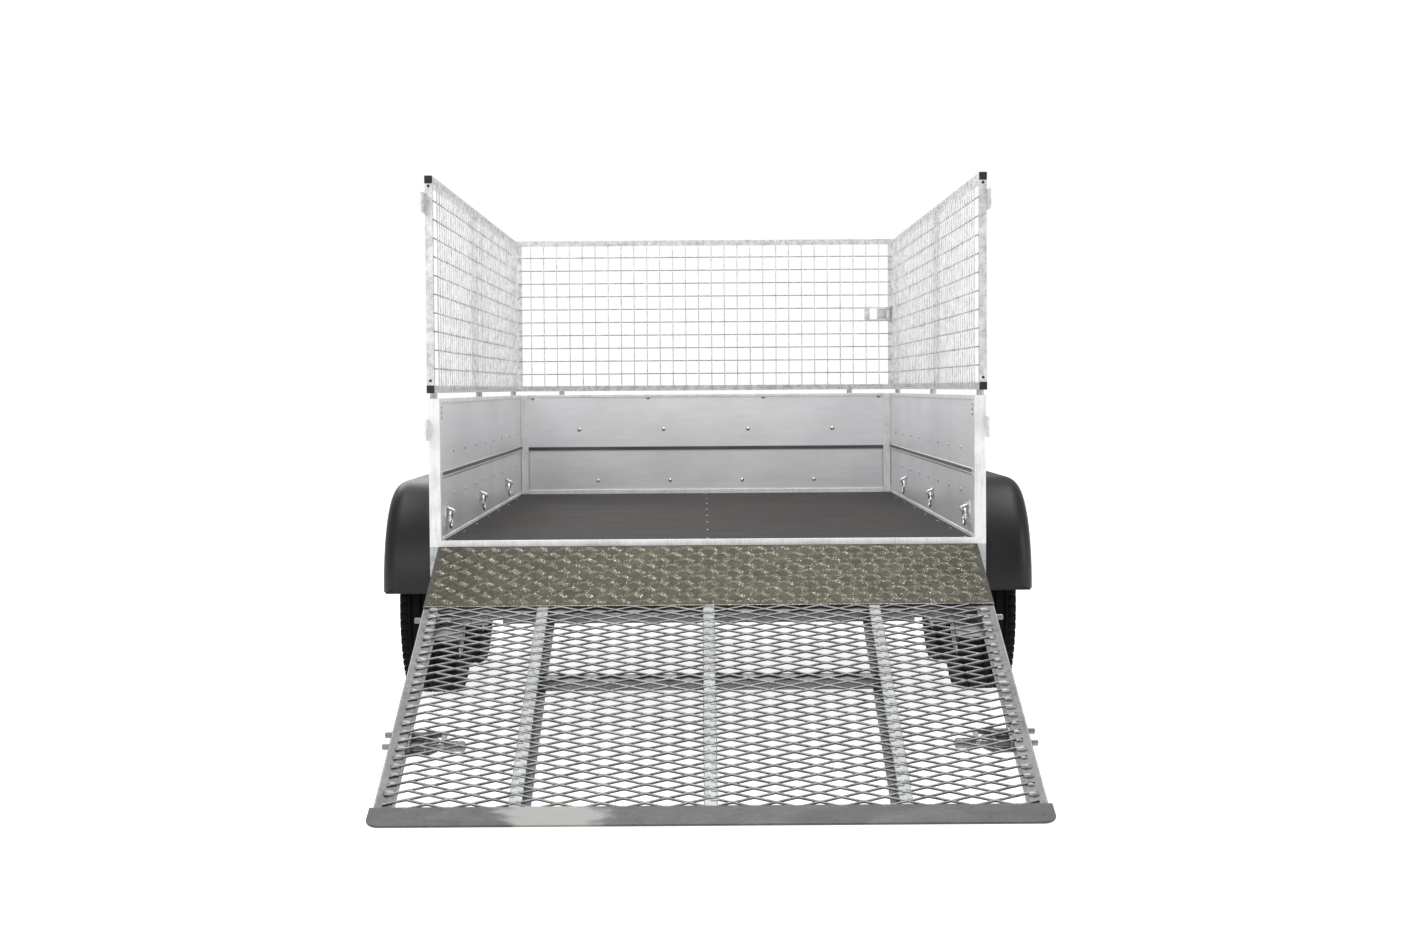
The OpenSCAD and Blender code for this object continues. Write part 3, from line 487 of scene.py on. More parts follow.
class Form:
    """A piece that is put together from closed shapes, in metres."""

    def __init__(self, name, place=None):
        self.name, self.place, self.shell = name, place or Matrix.Identity(4), bmesh.new()

    def faces(self, points, faces):
        verts = [self.shell.verts.new(self.place @ Vector(p)) for p in points]
        return [self.shell.faces.new([verts[i] for i in face]) for face in faces]

    def block(self, *corners):
        """A box between two opposite corners, given in any order."""
        low, high = [min(pair) for pair in zip(*corners)], [max(pair) for pair in zip(*corners)]
        points = [(x, y, z) for z in (low[2], high[2]) for y in (low[1], high[1]) for x in (low[0], high[0])]
        self.faces(points, [(0, 2, 3, 1), (4, 5, 7, 6), (0, 1, 5, 4), (2, 6, 7, 3), (0, 4, 6, 2),
                            (1, 3, 7, 5)])

    def pair(self, low, high):
        """The same box on the left and on the right."""
        for side in SIDES.values():
            self.block((side * low[0], *low[1:]), (side * high[0], *high[1:]))

    def lathe(self, profile, axis, loop=False, steps=48):
        """profile is (radius, height) pairs; axis is the matrix whose z is the turning axis."""
        rings, points = [], []
        for radius, height in profile:
            count = 1 if radius == 0 else steps
            rings.append(list(range(len(points), len(points) + count)))
            points += [axis @ Vector((radius * math.cos(a), radius * math.sin(a), height))
                       for a in around(steps)[:count]]
        faces = []
        for i in range(len(rings) if loop else len(rings) - 1):
            first, second = rings[i], rings[(i + 1) % len(rings)]
            for k in range(steps):
                corners = [first[k % len(first)], first[(k + 1) % len(first)],
                           second[(k + 1) % len(second)], second[k % len(second)]]
                corners = list(dict.fromkeys(corners))
                if len(corners) > 2:
                    faces.append(corners)
        self.faces(points, faces)

    def rod(self, start, end, radius, edge=0.001, steps=24):
        start, end = Vector(start), Vector(end)
        length = (end - start).length
        axis = Matrix.Translation(start) @ (end - start).to_track_quat("Z", "Y").to_matrix().to_4x4()
        self.lathe([(0, 0), (radius - edge, 0), (radius, edge), (radius, length - edge),
                    (radius - edge, length), (0, length)], axis, steps=steps)

    def ribbon(self, sections):
        """A closed skin through closed sections with equal point counts, capped at both ends."""
        count = len(sections[0])
        faces = [[i * count + k, i * count + (k + 1) % count, (i + 1) * count + (k + 1) % count,
                  (i + 1) * count + k]
                 for i in range(len(sections) - 1) for k in range(count)]
        faces += [list(range(count)), list(range(len(sections) * count - count, len(sections) * count))]
        self.faces([p for section in sections for p in section], faces)

    def pipe(self, path, radius, steps=10, loop=False):
        """A round bar along a path of points."""
        path = [Vector(p) for p in path]
        sections, side = [], None
        for i, point in enumerate(path):
            ahead = path[(i + 1) % len(path)] if loop or i < len(path) - 1 else point
            behind = path[i - 1] if loop or i > 0 else point
            along = (ahead - behind).normalized()
            side = (side or along.orthogonal())
            side = (side - along * side.dot(along)).normalized()
            up = along.cross(side)
            sections.append([point + radius * (side * math.cos(a) + up * math.sin(a)) for a in around(steps)])
        self.ribbon(sections)

    def done(self, body, slot, bevel=0.0, replaces=(), material=None, smooth=35, segments=2):
        bmesh.ops.recalc_face_normals(self.shell, faces=self.shell.faces)
        mesh = bpy.data.meshes.new(self.name)
        self.shell.to_mesh(mesh)
        self.shell.free()
        mesh.materials.append(finish(material or slot))
        for face in mesh.polygons:
            face.use_smooth = True
        if bevel:
            mesh = applied(mesh, ("BEVEL", {"width": bevel, "segments": segments, "limit_method": "ANGLE",
                                            "angle_limit": math.radians(40), "harden_normals": True}))
        else:
            mesh.set_sharp_from_angle(angle=math.radians(smooth))
        return place_piece(self.name, mesh, body, replaces)


def place_piece(name, mesh, body, replaces=()):
    mesh.name = name
    thing = bpy.data.objects.new(name, mesh)
    bpy.context.scene.collection.objects.link(thing)
    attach(thing, body)
    if replaces:
        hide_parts(*replaces)
    return thing


def moved(mesh, matrix):
    mesh.transform(matrix)
    if matrix.determinant() < 0:
        mesh.flip_normals()
    return mesh


def x_axis(centre, side=1):
    """A frame whose z points outward along x on the named side."""
    return Matrix.Translation(centre) @ Matrix.Rotation(math.radians(90 * side), 4, "Y")


def arc(centre, radius, start, end, steps):
    """Points on an arc, by angles in degrees."""
    return [(centre[0] + radius * math.cos(math.radians(start + (end - start) * k / steps)),
             centre[1] + radius * math.sin(math.radians(start + (end - start) * k / steps)))
            for k in range(steps + 1)]


# ------------------------------------------------------------------ patterns


def expanded_metal(material):
    """Zigzag strands in rows that meet their neighbours in long bonds."""
    p = Pattern("expanded_metal_" + material, Strands=49, Corners=30, Step=0.046, Pitch=0.018, Swing=0.0088,
                Bond=0.003,
                Width=0.0036, Thickness=0.0016, Tilt=0.2)
    corner = p.floor(p.index / 2)
    x = (corner - (p["Corners"] - 1) * 0.5) * p["Step"] + (p.index % 2 - 0.5) * p["Bond"]
    y = ((corner % 2) * 2 - 1) * p["Swing"]
    line = p.shift(p.line(p["Corners"] * 2, (0, 0, 0)), p.vector(x, y, 0))
    path = p.add("GeometryNodeSetCurveNormal", {"mode": "Z_UP"},
                 {0: p.add("GeometryNodeMeshToCurve", None, {0: line})})
    bar = p.add("GeometryNodeCurvePrimitiveQuadrilateral", None, {0: p["Width"], 1: p["Thickness"]})
    bar = p.add("GeometryNodeTransform", None, {"Geometry": bar, "Rotation": p.vector(0, 0, p["Tilt"])})
    strand = p.add("GeometryNodeCurveToMesh", None, {"Curve": path, "Profile Curve": bar, "Fill Caps": True})
    rows = p.line(p["Strands"], p.vector(0, p["Pitch"] * -1, 0))
    rows = p.shift(rows, offset=p.vector((p.index % 2 - 0.5) * p["Step"], 0, 0))
    return p.close(p.copies(rows, strand), finish(material))


def five_bars():
    """Groups of raised bars on a square grid, each turned square to its neighbours."""
    p = Pattern("five_bars", Columns=44, Rows=10, Pitch=0.0325, Bars=5, Length=0.030, Width=0.0031,
                Gap=0.0063,
                Height=0.0018, Turn=0.785)
    bar = p.add("GeometryNodeMeshUVSphere", None, {0: 8, 1: 4, 2: 1.0})
    size = p.vector(p["Length"] * 0.5, p["Width"] * 0.5, p["Height"])
    row = p.shift(p.line(p["Bars"], p.vector(0, p["Gap"], 0)),
                  offset=p.vector(0, p["Gap"] * (p["Bars"] - 1) * -0.5, 0))
    group = p.solid(p.copies(row, bar, scale=size))
    grid = p.add("GeometryNodeMeshGrid", None, {
        0: (p["Columns"] - 1) * p["Pitch"], 1: (p["Rows"] - 1) * p["Pitch"], 2: p["Columns"], 3: p["Rows"]})
    parity = (p.floor(p.index / p["Rows"]) + p.index % p["Rows"]) % 2
    turn = p.vector(0, 0, (parity * 2 - 1) * p["Turn"])
    return p.close(p.copies(grid, group, turn=turn), finish("tread_bars"))


def wire_layer(long_way):
    """One layer of welded wires in the YZ plane, each a little out of true; the long ones lie inside, in a darker
    finish that paints the shade behind the uprights.
    """
    name = "long_wires_painted_shade" if long_way else "upright_wires"
    p = Pattern(name, Length=2.4, Height=0.54, Pitch=0.05, Lap=0.012, Wire=0.004, Wave=0.002, Seed=1)
    points = 16
    span, across = (p["Length"], p["Height"]) if long_way else (p["Height"], p["Length"])
    count = p.floor(across / p["Pitch"] + 0.001)
    first = (across - (count - 1) * p["Pitch"]) * 0.5
    step, lap = (span + p["Lap"] * 2) / (points - 1), p["Lap"] * -1
    if long_way:
        one = p.shift(p.line(points, p.vector(0, step, 0)), offset=p.vector(p["Wire"], lap, 0))
        row = p.shift(p.line(count, p.vector(0, 0, p["Pitch"])), offset=p.vector(0, 0, first))
    else:
        one = p.shift(p.line(points, p.vector(0, 0, step)), offset=p.vector(0, 0, lap))
        row = p.shift(p.line(count, p.vector(0, p["Pitch"], 0)), offset=p.vector(0, first, 0))
    place = p.add("GeometryNodeInputPosition")
    drift = p.add("ShaderNodeTexNoise", {"noise_dimensions": "4D"}, {
        "Vector": place, "W": p["Seed"] * 7.3, "Scale": 5.0, "Detail": 2.0}, "Color")
    drift = p.add("ShaderNodeVectorMath", {"operation": "MULTIPLY_ADD"}, {
        0: drift, 1: p["Wave"] * 2, 2: p["Wave"] * -1})
    bent = p.add("GeometryNodeMeshToCurve", None, {0: p.shift(p.solid(p.copies(row, one)), offset=drift)})
    ring = p.add("GeometryNodeCurvePrimitiveCircle", None, {"Resolution": 8, "Radius": p["Wire"] * 0.5})
    wires = p.add("GeometryNodeCurveToMesh", None, {"Curve": bent, "Profile Curve": ring, "Fill Caps": True})
    return p.close(wires, finish(name))


def studs(material):
    """Domed heads on flat washers at the given points; uneven ones serve as weld beads."""
    p = Pattern("studs_" + material, Radius=0.005, Height=0.002, Washer=0.0, Stretch=(1.0, 1.0, 1.0),
                Turn=(0.0, 0.0, 0.0), Uneven=0.0, Seed=1)
    dome = p.add("GeometryNodeMeshUVSphere", None, {0: 12, 1: 8, 2: 1.0})
    dome = p.add("GeometryNodeTransform", None, {
        "Geometry": dome, "Scale": p.vector(p["Radius"], p["Radius"], p["Height"])})
    disc = p.add("GeometryNodeMeshCylinder", None, {
        "Vertices": 20, "Radius": p["Radius"] * p["Washer"] + 0.00001, "Depth": p["Height"] * 0.35})
    size = p.add("ShaderNodeVectorMath", {"operation": "MULTIPLY"}, {
        0: p["Stretch"], 1: 1 + p.seeded(-1.0, 1.0, p["Seed"]) * p["Uneven"]})
    return p.close(p.copies(p["Geometry"], p.join(dome, disc), turn=p["Turn"], scale=size), finish(material))


def shoulder_blocks():
    """Tread blocks around the X axis at x = 0."""
    p = Pattern("shoulder_blocks", Count=64, Radius=0.27, Wide=0.024, Long=0.019, Deep=0.012, Lean=0.35)
    angle = p.index * (2 * math.pi) / p["Count"]
    ring = p.shift(p.line(p["Count"], (0, 0, 0)), p.vector(
        0, p.math("COSINE", angle) * p["Radius"], p.math("SINE", angle) * p["Radius"]))
    cube = p.add("GeometryNodeMeshCube", None, {0: p.vector(p["Wide"], p["Deep"], p["Long"])})
    cube = p.add("GeometryNodeTransform", None, {"Geometry": cube, "Rotation": p.vector(0, 0, p["Lean"])})
    return p.close(p.copies(ring, cube, turn=p.vector(angle, 0, 0)), finish("tyre"))


# ------------------------------------------------------------------ sizes a user would change


def length(name, text, default):
    return bpy.props.FloatProperty(name=name, description=text, default=default, min=0.0, subtype="DISTANCE",
                                   unit="LENGTH", precision=4)


class TrailerRampSizes(bpy.types.PropertyGroup):
    bar_depth: length("Bar depth", "Depth of the ramp's bars", 0.028)
    rail_width: length("Rail width", "Width of the ramp's side rails", 0.04)
    bar_width: length("Bar width", "Width of the long bars", 0.03)
    bar_spread: length("Bar spread", "From the middle bar to the outer long bars", 0.42)
    strand_pitch: length("Strand pitch", "Between two rows of expanded metal", 0.018)
    lug_pitch: length("Lug pitch", "Between two groups of raised bars", 0.0325)


class TrailerMeshSizes(bpy.types.PropertyGroup):
    pitch: length("Wire pitch", "Between two wires", 0.05)
    wire: length("Wire", "Diameter of a wire", 0.004)
    wave: length("Wave", "How far a wire strays from true", 0.0022)


class TrailerGuardSizes(bpy.types.PropertyGroup):
    corner: length("Corner", "Radius of the mudguard's outer shoulder", 0.05)
    thickness: length("Thickness", "Thickness of the mudguard's skin", 0.004)


class TrailerStageSettings(bpy.types.PropertyGroup):
    floor: bpy.props.FloatVectorProperty(name="Floor", description="Colour of the studio floor", size=3,
                                         subtype="COLOR", default=(0.5, 0.5, 0.5), min=0, max=1)
    sky: bpy.props.FloatProperty(name="Sky", description="Strength of the soft light from all round",
                                 default=0.95, min=0, max=5)


# ------------------------------------------------------------------ operators


class TrailerOperator:
    bl_options = {"REGISTER", "UNDO"}

    def execute(self, context):
        self.build(context.scene)
        return {"FINISHED"}


class TRAILER_OT_stage(TrailerOperator, bpy.types.Operator):
    """Add the studio floor, the lights and the camera"""
    bl_idname = "trailer.stage"
    bl_label = "Stage"

    def build(self, scene):
        settings = scene.trailer_stage
        paint = Finish("studio_floor", roughness=0.9)
        paint.shader.inputs["Emission Color"].default_value = (1, 1, 1, 1)
        paint.shader.inputs["Emission Strength"].default_value = 0.86
        shade = paint.noise(0.8, 2)
        paint.done(paint.mix(shade * 0.1, tuple(settings.floor), tuple(c * 0.97 for c in settings.floor)))
        ground = bmesh.new()
        bmesh.ops.create_grid(ground, x_segments=1, y_segments=1, size=45)
        mesh = bpy.data.meshes.new("studio_floor")
        ground.to_mesh(mesh)
        ground.free()
        mesh.transform(Matrix.Translation((0, 0, -0.0005)))
        mesh.materials.append(paint.material)
        plane = bpy.data.objects.new("studio_floor", mesh)
        scene.collection.objects.link(plane)

        world = bpy.data.worlds.new("studio")
        world.use_nodes = True
        scene.world = world
        sky = Graph(world.node_tree)
        back = world.node_tree.nodes["Background"]
        up = sky.add("ShaderNodeSeparateXYZ", None, {0: sky.add("ShaderNodeTexCoord", out="Generated")}, "Z")
        glow = sky.add("ShaderNodeValToRGB", {"stops": [
            (0.0, (0.5, 0.5, 0.5)), (0.5, (1.0, 1.0, 1.0)), (0.57, (0.85, 0.85, 0.85)),
            (0.66, (0.38, 0.38, 0.38)),
            (0.85, (0.36, 0.36, 0.36)), (1.0, (1.0, 1.0, 1.0))]},
            {0: up * 0.5 + 0.5})
        seen = sky.add("ShaderNodeLightPath", out="Is Camera Ray")
        sky.feed(back.inputs["Color"], sky.add("ShaderNodeMix", {"data_type": "RGBA"},
                                               {0: seen, 6: glow, 7: (1, 1, 1, 1)}, 2))
        sky.feed(back.inputs["Strength"], seen * (1.02 - settings.sky) + settings.sky)

        for name, place, aim, size, power in (
                ("softbox_top", (0.2, 0.1, 4.6), (0, 0.1, 0), (3.5, 4.5), 170),
                ("softbox_rear", (-3.2, -6.4, 3.4), (0, -0.6, 0.5), (3.0, 2.4), 120),
                ("softbox_right", (5.0, -2.5, 2.6), (0, -0.3, 0.6), (1.6, 2.6), 60),
                ("softbox_front", (-2.5, 6.0, 3.6), (0, 0.6, 0.5), (3.0, 2.0), 90)):
            lamp = bpy.data.lights.new(name, "AREA")
            lamp.shape, lamp.size, lamp.size_y, lamp.energy = "RECTANGLE", *size, power
            thing = bpy.data.objects.new(name, lamp)
            thing.location = place
            thing.rotation_euler = (Vector(aim) - Vector(place)).to_track_quat("-Z", "Y").to_euler()
            scene.collection.objects.link(thing)

        lens_mm, back_off, eye_height = 52.7, 5.539, 0.922
        tilt, roll = math.radians(2.24), math.radians(-0.38)
        camera = bpy.data.cameras.new("camera")
        camera.lens, camera.sensor_width, camera.clip_end = lens_mm, 36, 200
        view = bpy.data.objects.new("camera", camera)
        view.matrix_world = (Matrix.Translation((-0.012, REAR_Y - back_off, eye_height))
                             @ Matrix.Rotation(math.radians(90) - tilt, 4, "X") @ Matrix.Rotation(roll, 4,
                                                                                                  "Z"))
        scene.collection.objects.link(view)
        scene.camera = view
        scene.view_settings.view_transform = "Standard"
        scene.view_settings.look = "None"


class TRAILER_OT_nodes(TrailerOperator, bpy.types.Operator):
    """Give every node of the frame the finish of its material slot"""
    bl_idname = "trailer.nodes"
    bl_label = "Frame finishes"

    def build(self, scene):
        for node, slot in SLOT_OF.items():
            thing, material = frame["nodes"][node], finish("bolt" if node == "ramp_bolt_guides" else slot)
            if not thing.material_slots:
                thing.data.materials.append(material)
            for holder in thing.material_slots:
                holder.material = material


class TRAILER_OT_bed(TrailerOperator, bpy.types.Operator):
    """Dress the bed: edge strip, rivets, floor screws, ring brackets and lashing rings"""
    bl_idname = "trailer.bed"
    bl_label = "Load bed"

    def build(self, scene):
        low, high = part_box("floor_edge_trim")
        strip = Form("edge_strip")
        strip.block(low, high)
        strip.block((low.x, low.y, high.z - 0.001), (high.x, low.y + 0.02, high.z + 0.0015))
        strip.done("trailer", "post", bevel=0.0008, replaces=["floor_edge_trim"])

        wall_y, wall_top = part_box("front_panel")[0].y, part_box("front_panel")[1].z
        bead_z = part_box("floor_board")[1].z + 0.177
        rear, front = REAR_Y + 0.031, wall_y - 0.005
        inner, outer = BED_HALF - 0.0025, BED_HALF + 0.001
        # Dark strips along the front wall's groove and the side walls' beads: painted shadow under the beads.
        shadow_strips = Form("wall_shadow_strips")
        shadow_strips.block((0.03 - BED_HALF, wall_y - 0.0012, bead_z - 0.007),
                    (BED_HALF - 0.03, wall_y + 0.004, bead_z + 0.006))
        shadow_strips.pair((BED_HALF - 0.0048, rear + 0.001, bead_z - 0.001), (outer, front + 0.003, bead_z + 0.0085))
        shadow_strips.done("trailer", "wall_sheet", bevel=0.0008, material="bead_painted_shadow")
        edges = Form("wall_edges")
        edges.pair((BED_HALF - 0.03, wall_y - 0.0045, FLOOR_Z + 0.001),
                   (BED_HALF - 0.002, wall_y + 0.004, wall_top - 0.001))
        edges.pair((inner, rear, wall_top - 0.012), (outer, front, wall_top + 0.0006))
        edges.pair((inner, rear, FLOOR_Z - 0.001), (outer, front, FLOOR_Z + 0.009))
        span = BED_HALF - 0.031
        edges.block((-span, wall_y - 0.003, wall_top - 0.01), (span, wall_y + 0.004, wall_top + 0.0006))
        edges.block((-span, wall_y - 0.0035, FLOOR_Z - 0.001), (span, wall_y + 0.004, FLOOR_Z + 0.016))
        edges.done("trailer", "wall_sheet", bevel=0.0012, material="post")

        pattern = studs("fastener")
        heads = {}
        for centre, size in separate_parts("panel_fasteners"):
            flat = min(range(3), key=lambda i: size[i])
            side = 0 if flat == 1 else (1 if centre.x > 0 else -1)
            heads.setdefault((side, round(max(size), 3)), []).append(centre)
        for i, ((side, size), points) in enumerate(sorted(heads.items())):
            mesh = pattern.grow(points, Radius=size / 2, Height=0.0022, Washer=1.45,
                                Turn=(0.0, -math.pi / 2 * side, 0.0) if side else (math.pi / 2, 0.0, 0.0))
            place_piece(f"rivets_{i + 1}", mesh, "trailer", ["panel_fasteners"])
        tops = [(c.x, c.y, FLOOR_Z) for c, size in separate_parts("floor_screws")]
        place_piece("floor_screw_heads", pattern.grow(tops, Radius=0.0036, Height=0.0009, Washer=1.2),
                    "trailer", ["floor_screws"])

        for body in RINGS:
            centre, size = [(a + b) / 2 for a,
                            b in zip(*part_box("lashing_" + body))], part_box("lashing_" + body)
            wire = (size[1].x - size[0].x) / 2
            radius = (size[1].z - size[0].z) / 2 - wire
            ring = Form("loop_" + body)
            ring.lathe([(radius + wire * math.cos(a), wire * math.sin(a)) for a in around(12)],
                       x_axis(centre),
                       loop=True, steps=40)
            ring.done(body, "ring", replaces=["lashing_" + body], smooth=80)
        saddles = Form("ring_saddles")
        for body in RINGS:
            side = -1 if "left" in body else 1
            low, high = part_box("lashing_" + body)
            x, y, z = (low.x + high.x) / 2, (low.y + high.y) / 2, high.z - (high.x - low.x) / 2
            back = side * BED_HALF
            saddles.block((back, y - 0.024, z - 0.014),
                          (back - side * 0.003, y + 0.024, z + 0.022))
            saddles.pipe([(x + side * (0.012 - 0.0195 * math.sin(math.pi * k / 12)) - side * 0.0035, y,
                           z - 0.010 + 0.020 * k / 12) for k in range(13)], 0.0035, 8)
            for step in (-0.016, 0.016):
                saddles.rod((back - side * 0.002, y + step, z + 0.012),
                            (back - side * 0.0065, y + step, z + 0.012),
                            0.005, 0.0015, 12)
        saddles.done("trailer", "fastener", replaces=["ring_brackets"], bevel=0.0006)


class TRAILER_OT_mesh_sides(TrailerOperator, bpy.types.Operator):
    """Build the welded wire panels and the tubes' end plugs"""
    bl_idname = "trailer.mesh_sides"
    bl_label = "Mesh sides"

    def build(self, scene):
        sizes = scene.trailer_mesh
        layers = {"long": wire_layer(True), "upright": wire_layer(False)}
        for i, (name, side) in enumerate((("left", -1), ("right", 1), ("front", 0))):
            low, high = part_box("mesh_wires_" + name)
            lap = 0.012
            if side:
                span = high.y - low.y - 2 * lap
                turn = Matrix.Translation((side * (max(abs(low.x), abs(high.x)) - sizes.wire * 1.5),
                                           low.y + lap,
                                           low.z + lap)) @ Matrix.Diagonal((side, 1, 1, 1))
            else:
                span = high.x - low.x - 2 * lap
                turn = (Matrix.Translation((low.x + lap, high.y - sizes.wire * 1.5, low.z + lap))
                        @ Matrix.Rotation(math.radians(-90), 4, "Z") @ Matrix.Diagonal((-1, 1, 1, 1)))
            for kind, layer in layers.items():
                mesh = layer.grow(Length=span, Height=high.z - low.z - 2 * lap, Pitch=sizes.pitch, Lap=lap,
                                  Wire=sizes.wire, Wave=sizes.wave * (1.0 if side else 0.35), Seed=i + 1)
                place_piece(f"wires_{name}_{kind}", moved(mesh, turn), "mesh_" + name,
                            ["mesh_wires_" + name])

        for name, side in SIDES.items():
            low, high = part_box("mesh_frame_" + name)
            plugs = Form("end_plugs_" + name)
            centre, tube = side * 0.743, 0.02
            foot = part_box("mesh_wires_" + name)[0].z - 0.008
            for z in (foot, high.z - tube):
                for half, back, front in ((0.0105, 0.004, 0.002), (0.0075, 0, 0.02)):
                    plugs.block((centre - half, REAR_Y - back, z + tube / 2 - half),
                                (centre + half, REAR_Y + front, z + tube / 2 + half))
            plugs.done("mesh_" + name, "grip", bevel=0.0015, material="plug")
            # Dark discs on the tube ends stand in for the round holes: painted shade inside them.
            hole_shade = Form("tube_holes_" + name)
            for z in (foot + 0.033, high.z - 0.027):
                hole_shade.rod((centre, REAR_Y - 0.0006, z), (centre, REAR_Y + 0.004, z), 0.004, 0.0003, 16)
            hole_shade.done("mesh_" + name, "grip", material="plug")


class TRAILER_OT_ramp(TrailerOperator, bpy.types.Operator):
    """Build the ramp: bars, expanded metal, tread plate, welds, lip and sliding bolts"""
    bl_idname = "trailer.ramp"
    bl_label = "Ramp"

    def build(self, scene):
        sizes = scene.trailer_ramp
        frame_low, frame_high = local_box("ramp_frame", RAMP)
        plate_low, plate_high = local_box("ramp_tread_plate", RAMP)
        half, top = frame_high.x, frame_high.z
        foot, end = top - sizes.bar_depth, frame_low.y
        wide = sizes.rail_width
        spread, thin, pitch = sizes.bar_spread, sizes.bar_width / 2, sizes.strand_pitch
        long_bars = (-spread, 0, spread)
        knuckle, knuckle_half, beam = 0.3, 0.029, 0.022
        # The bars take the darker zinc copy as painted shade on their sides and foot flanges; their tops get the
        # lighter bar_top copy.
        bars = Form("ramp_bars", RAMP)
        bars.pair((half, end, foot), (half - wide, -0.002, top))
        for side in SIDES.values():
            bars.rod((side * knuckle - knuckle_half, 0, 0), (side * knuckle + knuckle_half, 0, 0), 0.015,
                     0.0015)
        bars.pair((knuckle - knuckle_half + 0.0005, -beam, -0.0075),
                  (knuckle + knuckle_half - 0.0005, 0, 0.0075))
        for x in long_bars:
            bars.block((x - thin, end, foot), (x + thin, -beam, top - 0.0004))
        bars.pair((spread - thin - 0.016, end + 0.002, foot + 0.0008),
                  (spread - thin + 0.004, -0.03, foot + 0.0035))
        reach = half - wide + 0.001
        for start, deep, side in ((beam, wide, reach), (-plate_low.y - 0.017, 0.034, reach),
                                  (-plate_low.y, 0.036, spread + 0.1), (0.651, 0.034, spread)):
            bars.block((-side, -start - deep, foot + 0.0006), (side, -start, top - 0.0009))
        bars.done("ramp", "galvanised", bevel=0.0028, replaces=["ramp_frame"], material="galvanised_dark",
                  segments=3)
        tops = Form("bar_tops", RAMP)
        low = (end + 0.002, top - 0.004)
        for x in long_bars:
            tops.block((x - thin + 0.001, *low), (x + thin - 0.001, plate_low.y + 0.001, top + 0.0022))
        tops.pair((half - 0.0035, *low), (half - 0.0008, -0.01, top + 0.0003))
        tops.done("ramp", "galvanised", bevel=0.001, material="bar_top")

        first = -plate_low.y + 0.012
        corners = 30
        step = 2 * (half - wide / 2) / corners
        strands = int((-end - first) / pitch) + 1
        middle = (plate_high.z + top) / 2
        # The second copy of the expanded metal, set just below the strands in near-black zinc, is painted shade on
        # their undersides.
        for name, material, back, lift, deep in (("ramp_strands", "strand", 0, 0.0012, 0.0018),
                                                 ("strand_undersides_painted_shade", "strand_under", 0.0006, -0.0008,
                                                  0.0022)):
            mesh = expanded_metal(material).grow(Strands=strands, Corners=corners, Step=step, Pitch=pitch,
                                                 Swing=pitch / 2 - 0.0004, Thickness=deep)
            place_piece(name, moved(mesh, RAMP @ Matrix.Translation((0, -first - back, middle + lift))),
                        "ramp", ["ramp_mesh"])

        beads = studs("weld")
        pairs = range(int((-end - first) / (2 * pitch)))
        edge = half - wide * 0.68
        seams = [(side * edge, -first - (k + 0.5 * (side > 0)) * 2 * pitch, top + 0.001)
                 for side in SIDES.values() for k in pairs]
        mesh = beads.grow(seams, Radius=0.009, Height=0.0042, Stretch=(1.25, 0.85, 1.0), Uneven=0.28, Seed=3)
        place_piece("rail_welds", moved(mesh, RAMP), "ramp")
        seams = [(x + 0.009 * (-1) ** k, -first - k * pitch, top + 0.0022)
                 for x in long_bars for k in range(strands - 1)]
        mesh = beads.grow(seams, Radius=0.006, Height=0.0019, Stretch=(1.4, 0.6, 1.0), Uneven=0.4, Seed=4)
        place_piece("bar_welds", moved(mesh, RAMP), "ramp")

        rows = int((plate_high.y - plate_low.y) / sizes.lug_pitch)
        columns = int((plate_high.x - plate_low.x) / sizes.lug_pitch)
        mesh = five_bars().grow(Columns=columns, Rows=rows, Pitch=sizes.lug_pitch)
        middle = Vector((0, (plate_low.y + plate_high.y) / 2, plate_high.z))
        place_piece("tread_bars", moved(mesh, RAMP @ Matrix.Translation(middle)), "ramp")
        # The hem takes the bars' finish, so it carries the same painted glints along the plate's edge.
        hem = Form("tread_hem", RAMP)
        hem.block((plate_low.x, plate_low.y - 0.002, top + 0.0004),
                  (plate_high.x, plate_low.y + 0.002, plate_high.z + 0.0006))
        hem.done("ramp", "tread_plate", bevel=0.0008, material="tread_bars")

        thick, long, corner, wing = 0.005, 0.075, 0.03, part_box("ramp_lip")[1].x
        fold = (RAMP @ Vector((0, end, plate_high.z))).z
        tilt = math.asin((fold - thick) / long) - RAMP_SLOPE
        outline = [(-wing, 0.002), (wing, 0.002)]
        outline += arc((wing - corner, corner - long), corner, 0, -90, 8)
        outline += arc((corner - wing, corner - long), corner, -90, -180, 8)
        lip = Form("lip", RAMP @ Matrix.Translation((0, end, plate_high.z)) @ Matrix.Rotation(tilt, 4, "X"))
        lip.ribbon([[(x, y, z) for x, y in outline] for z in (-thick, 0)])
        lip.done("ramp", "galvanised_dark", bevel=0.0012, replaces=["ramp_lip"], material="lip")

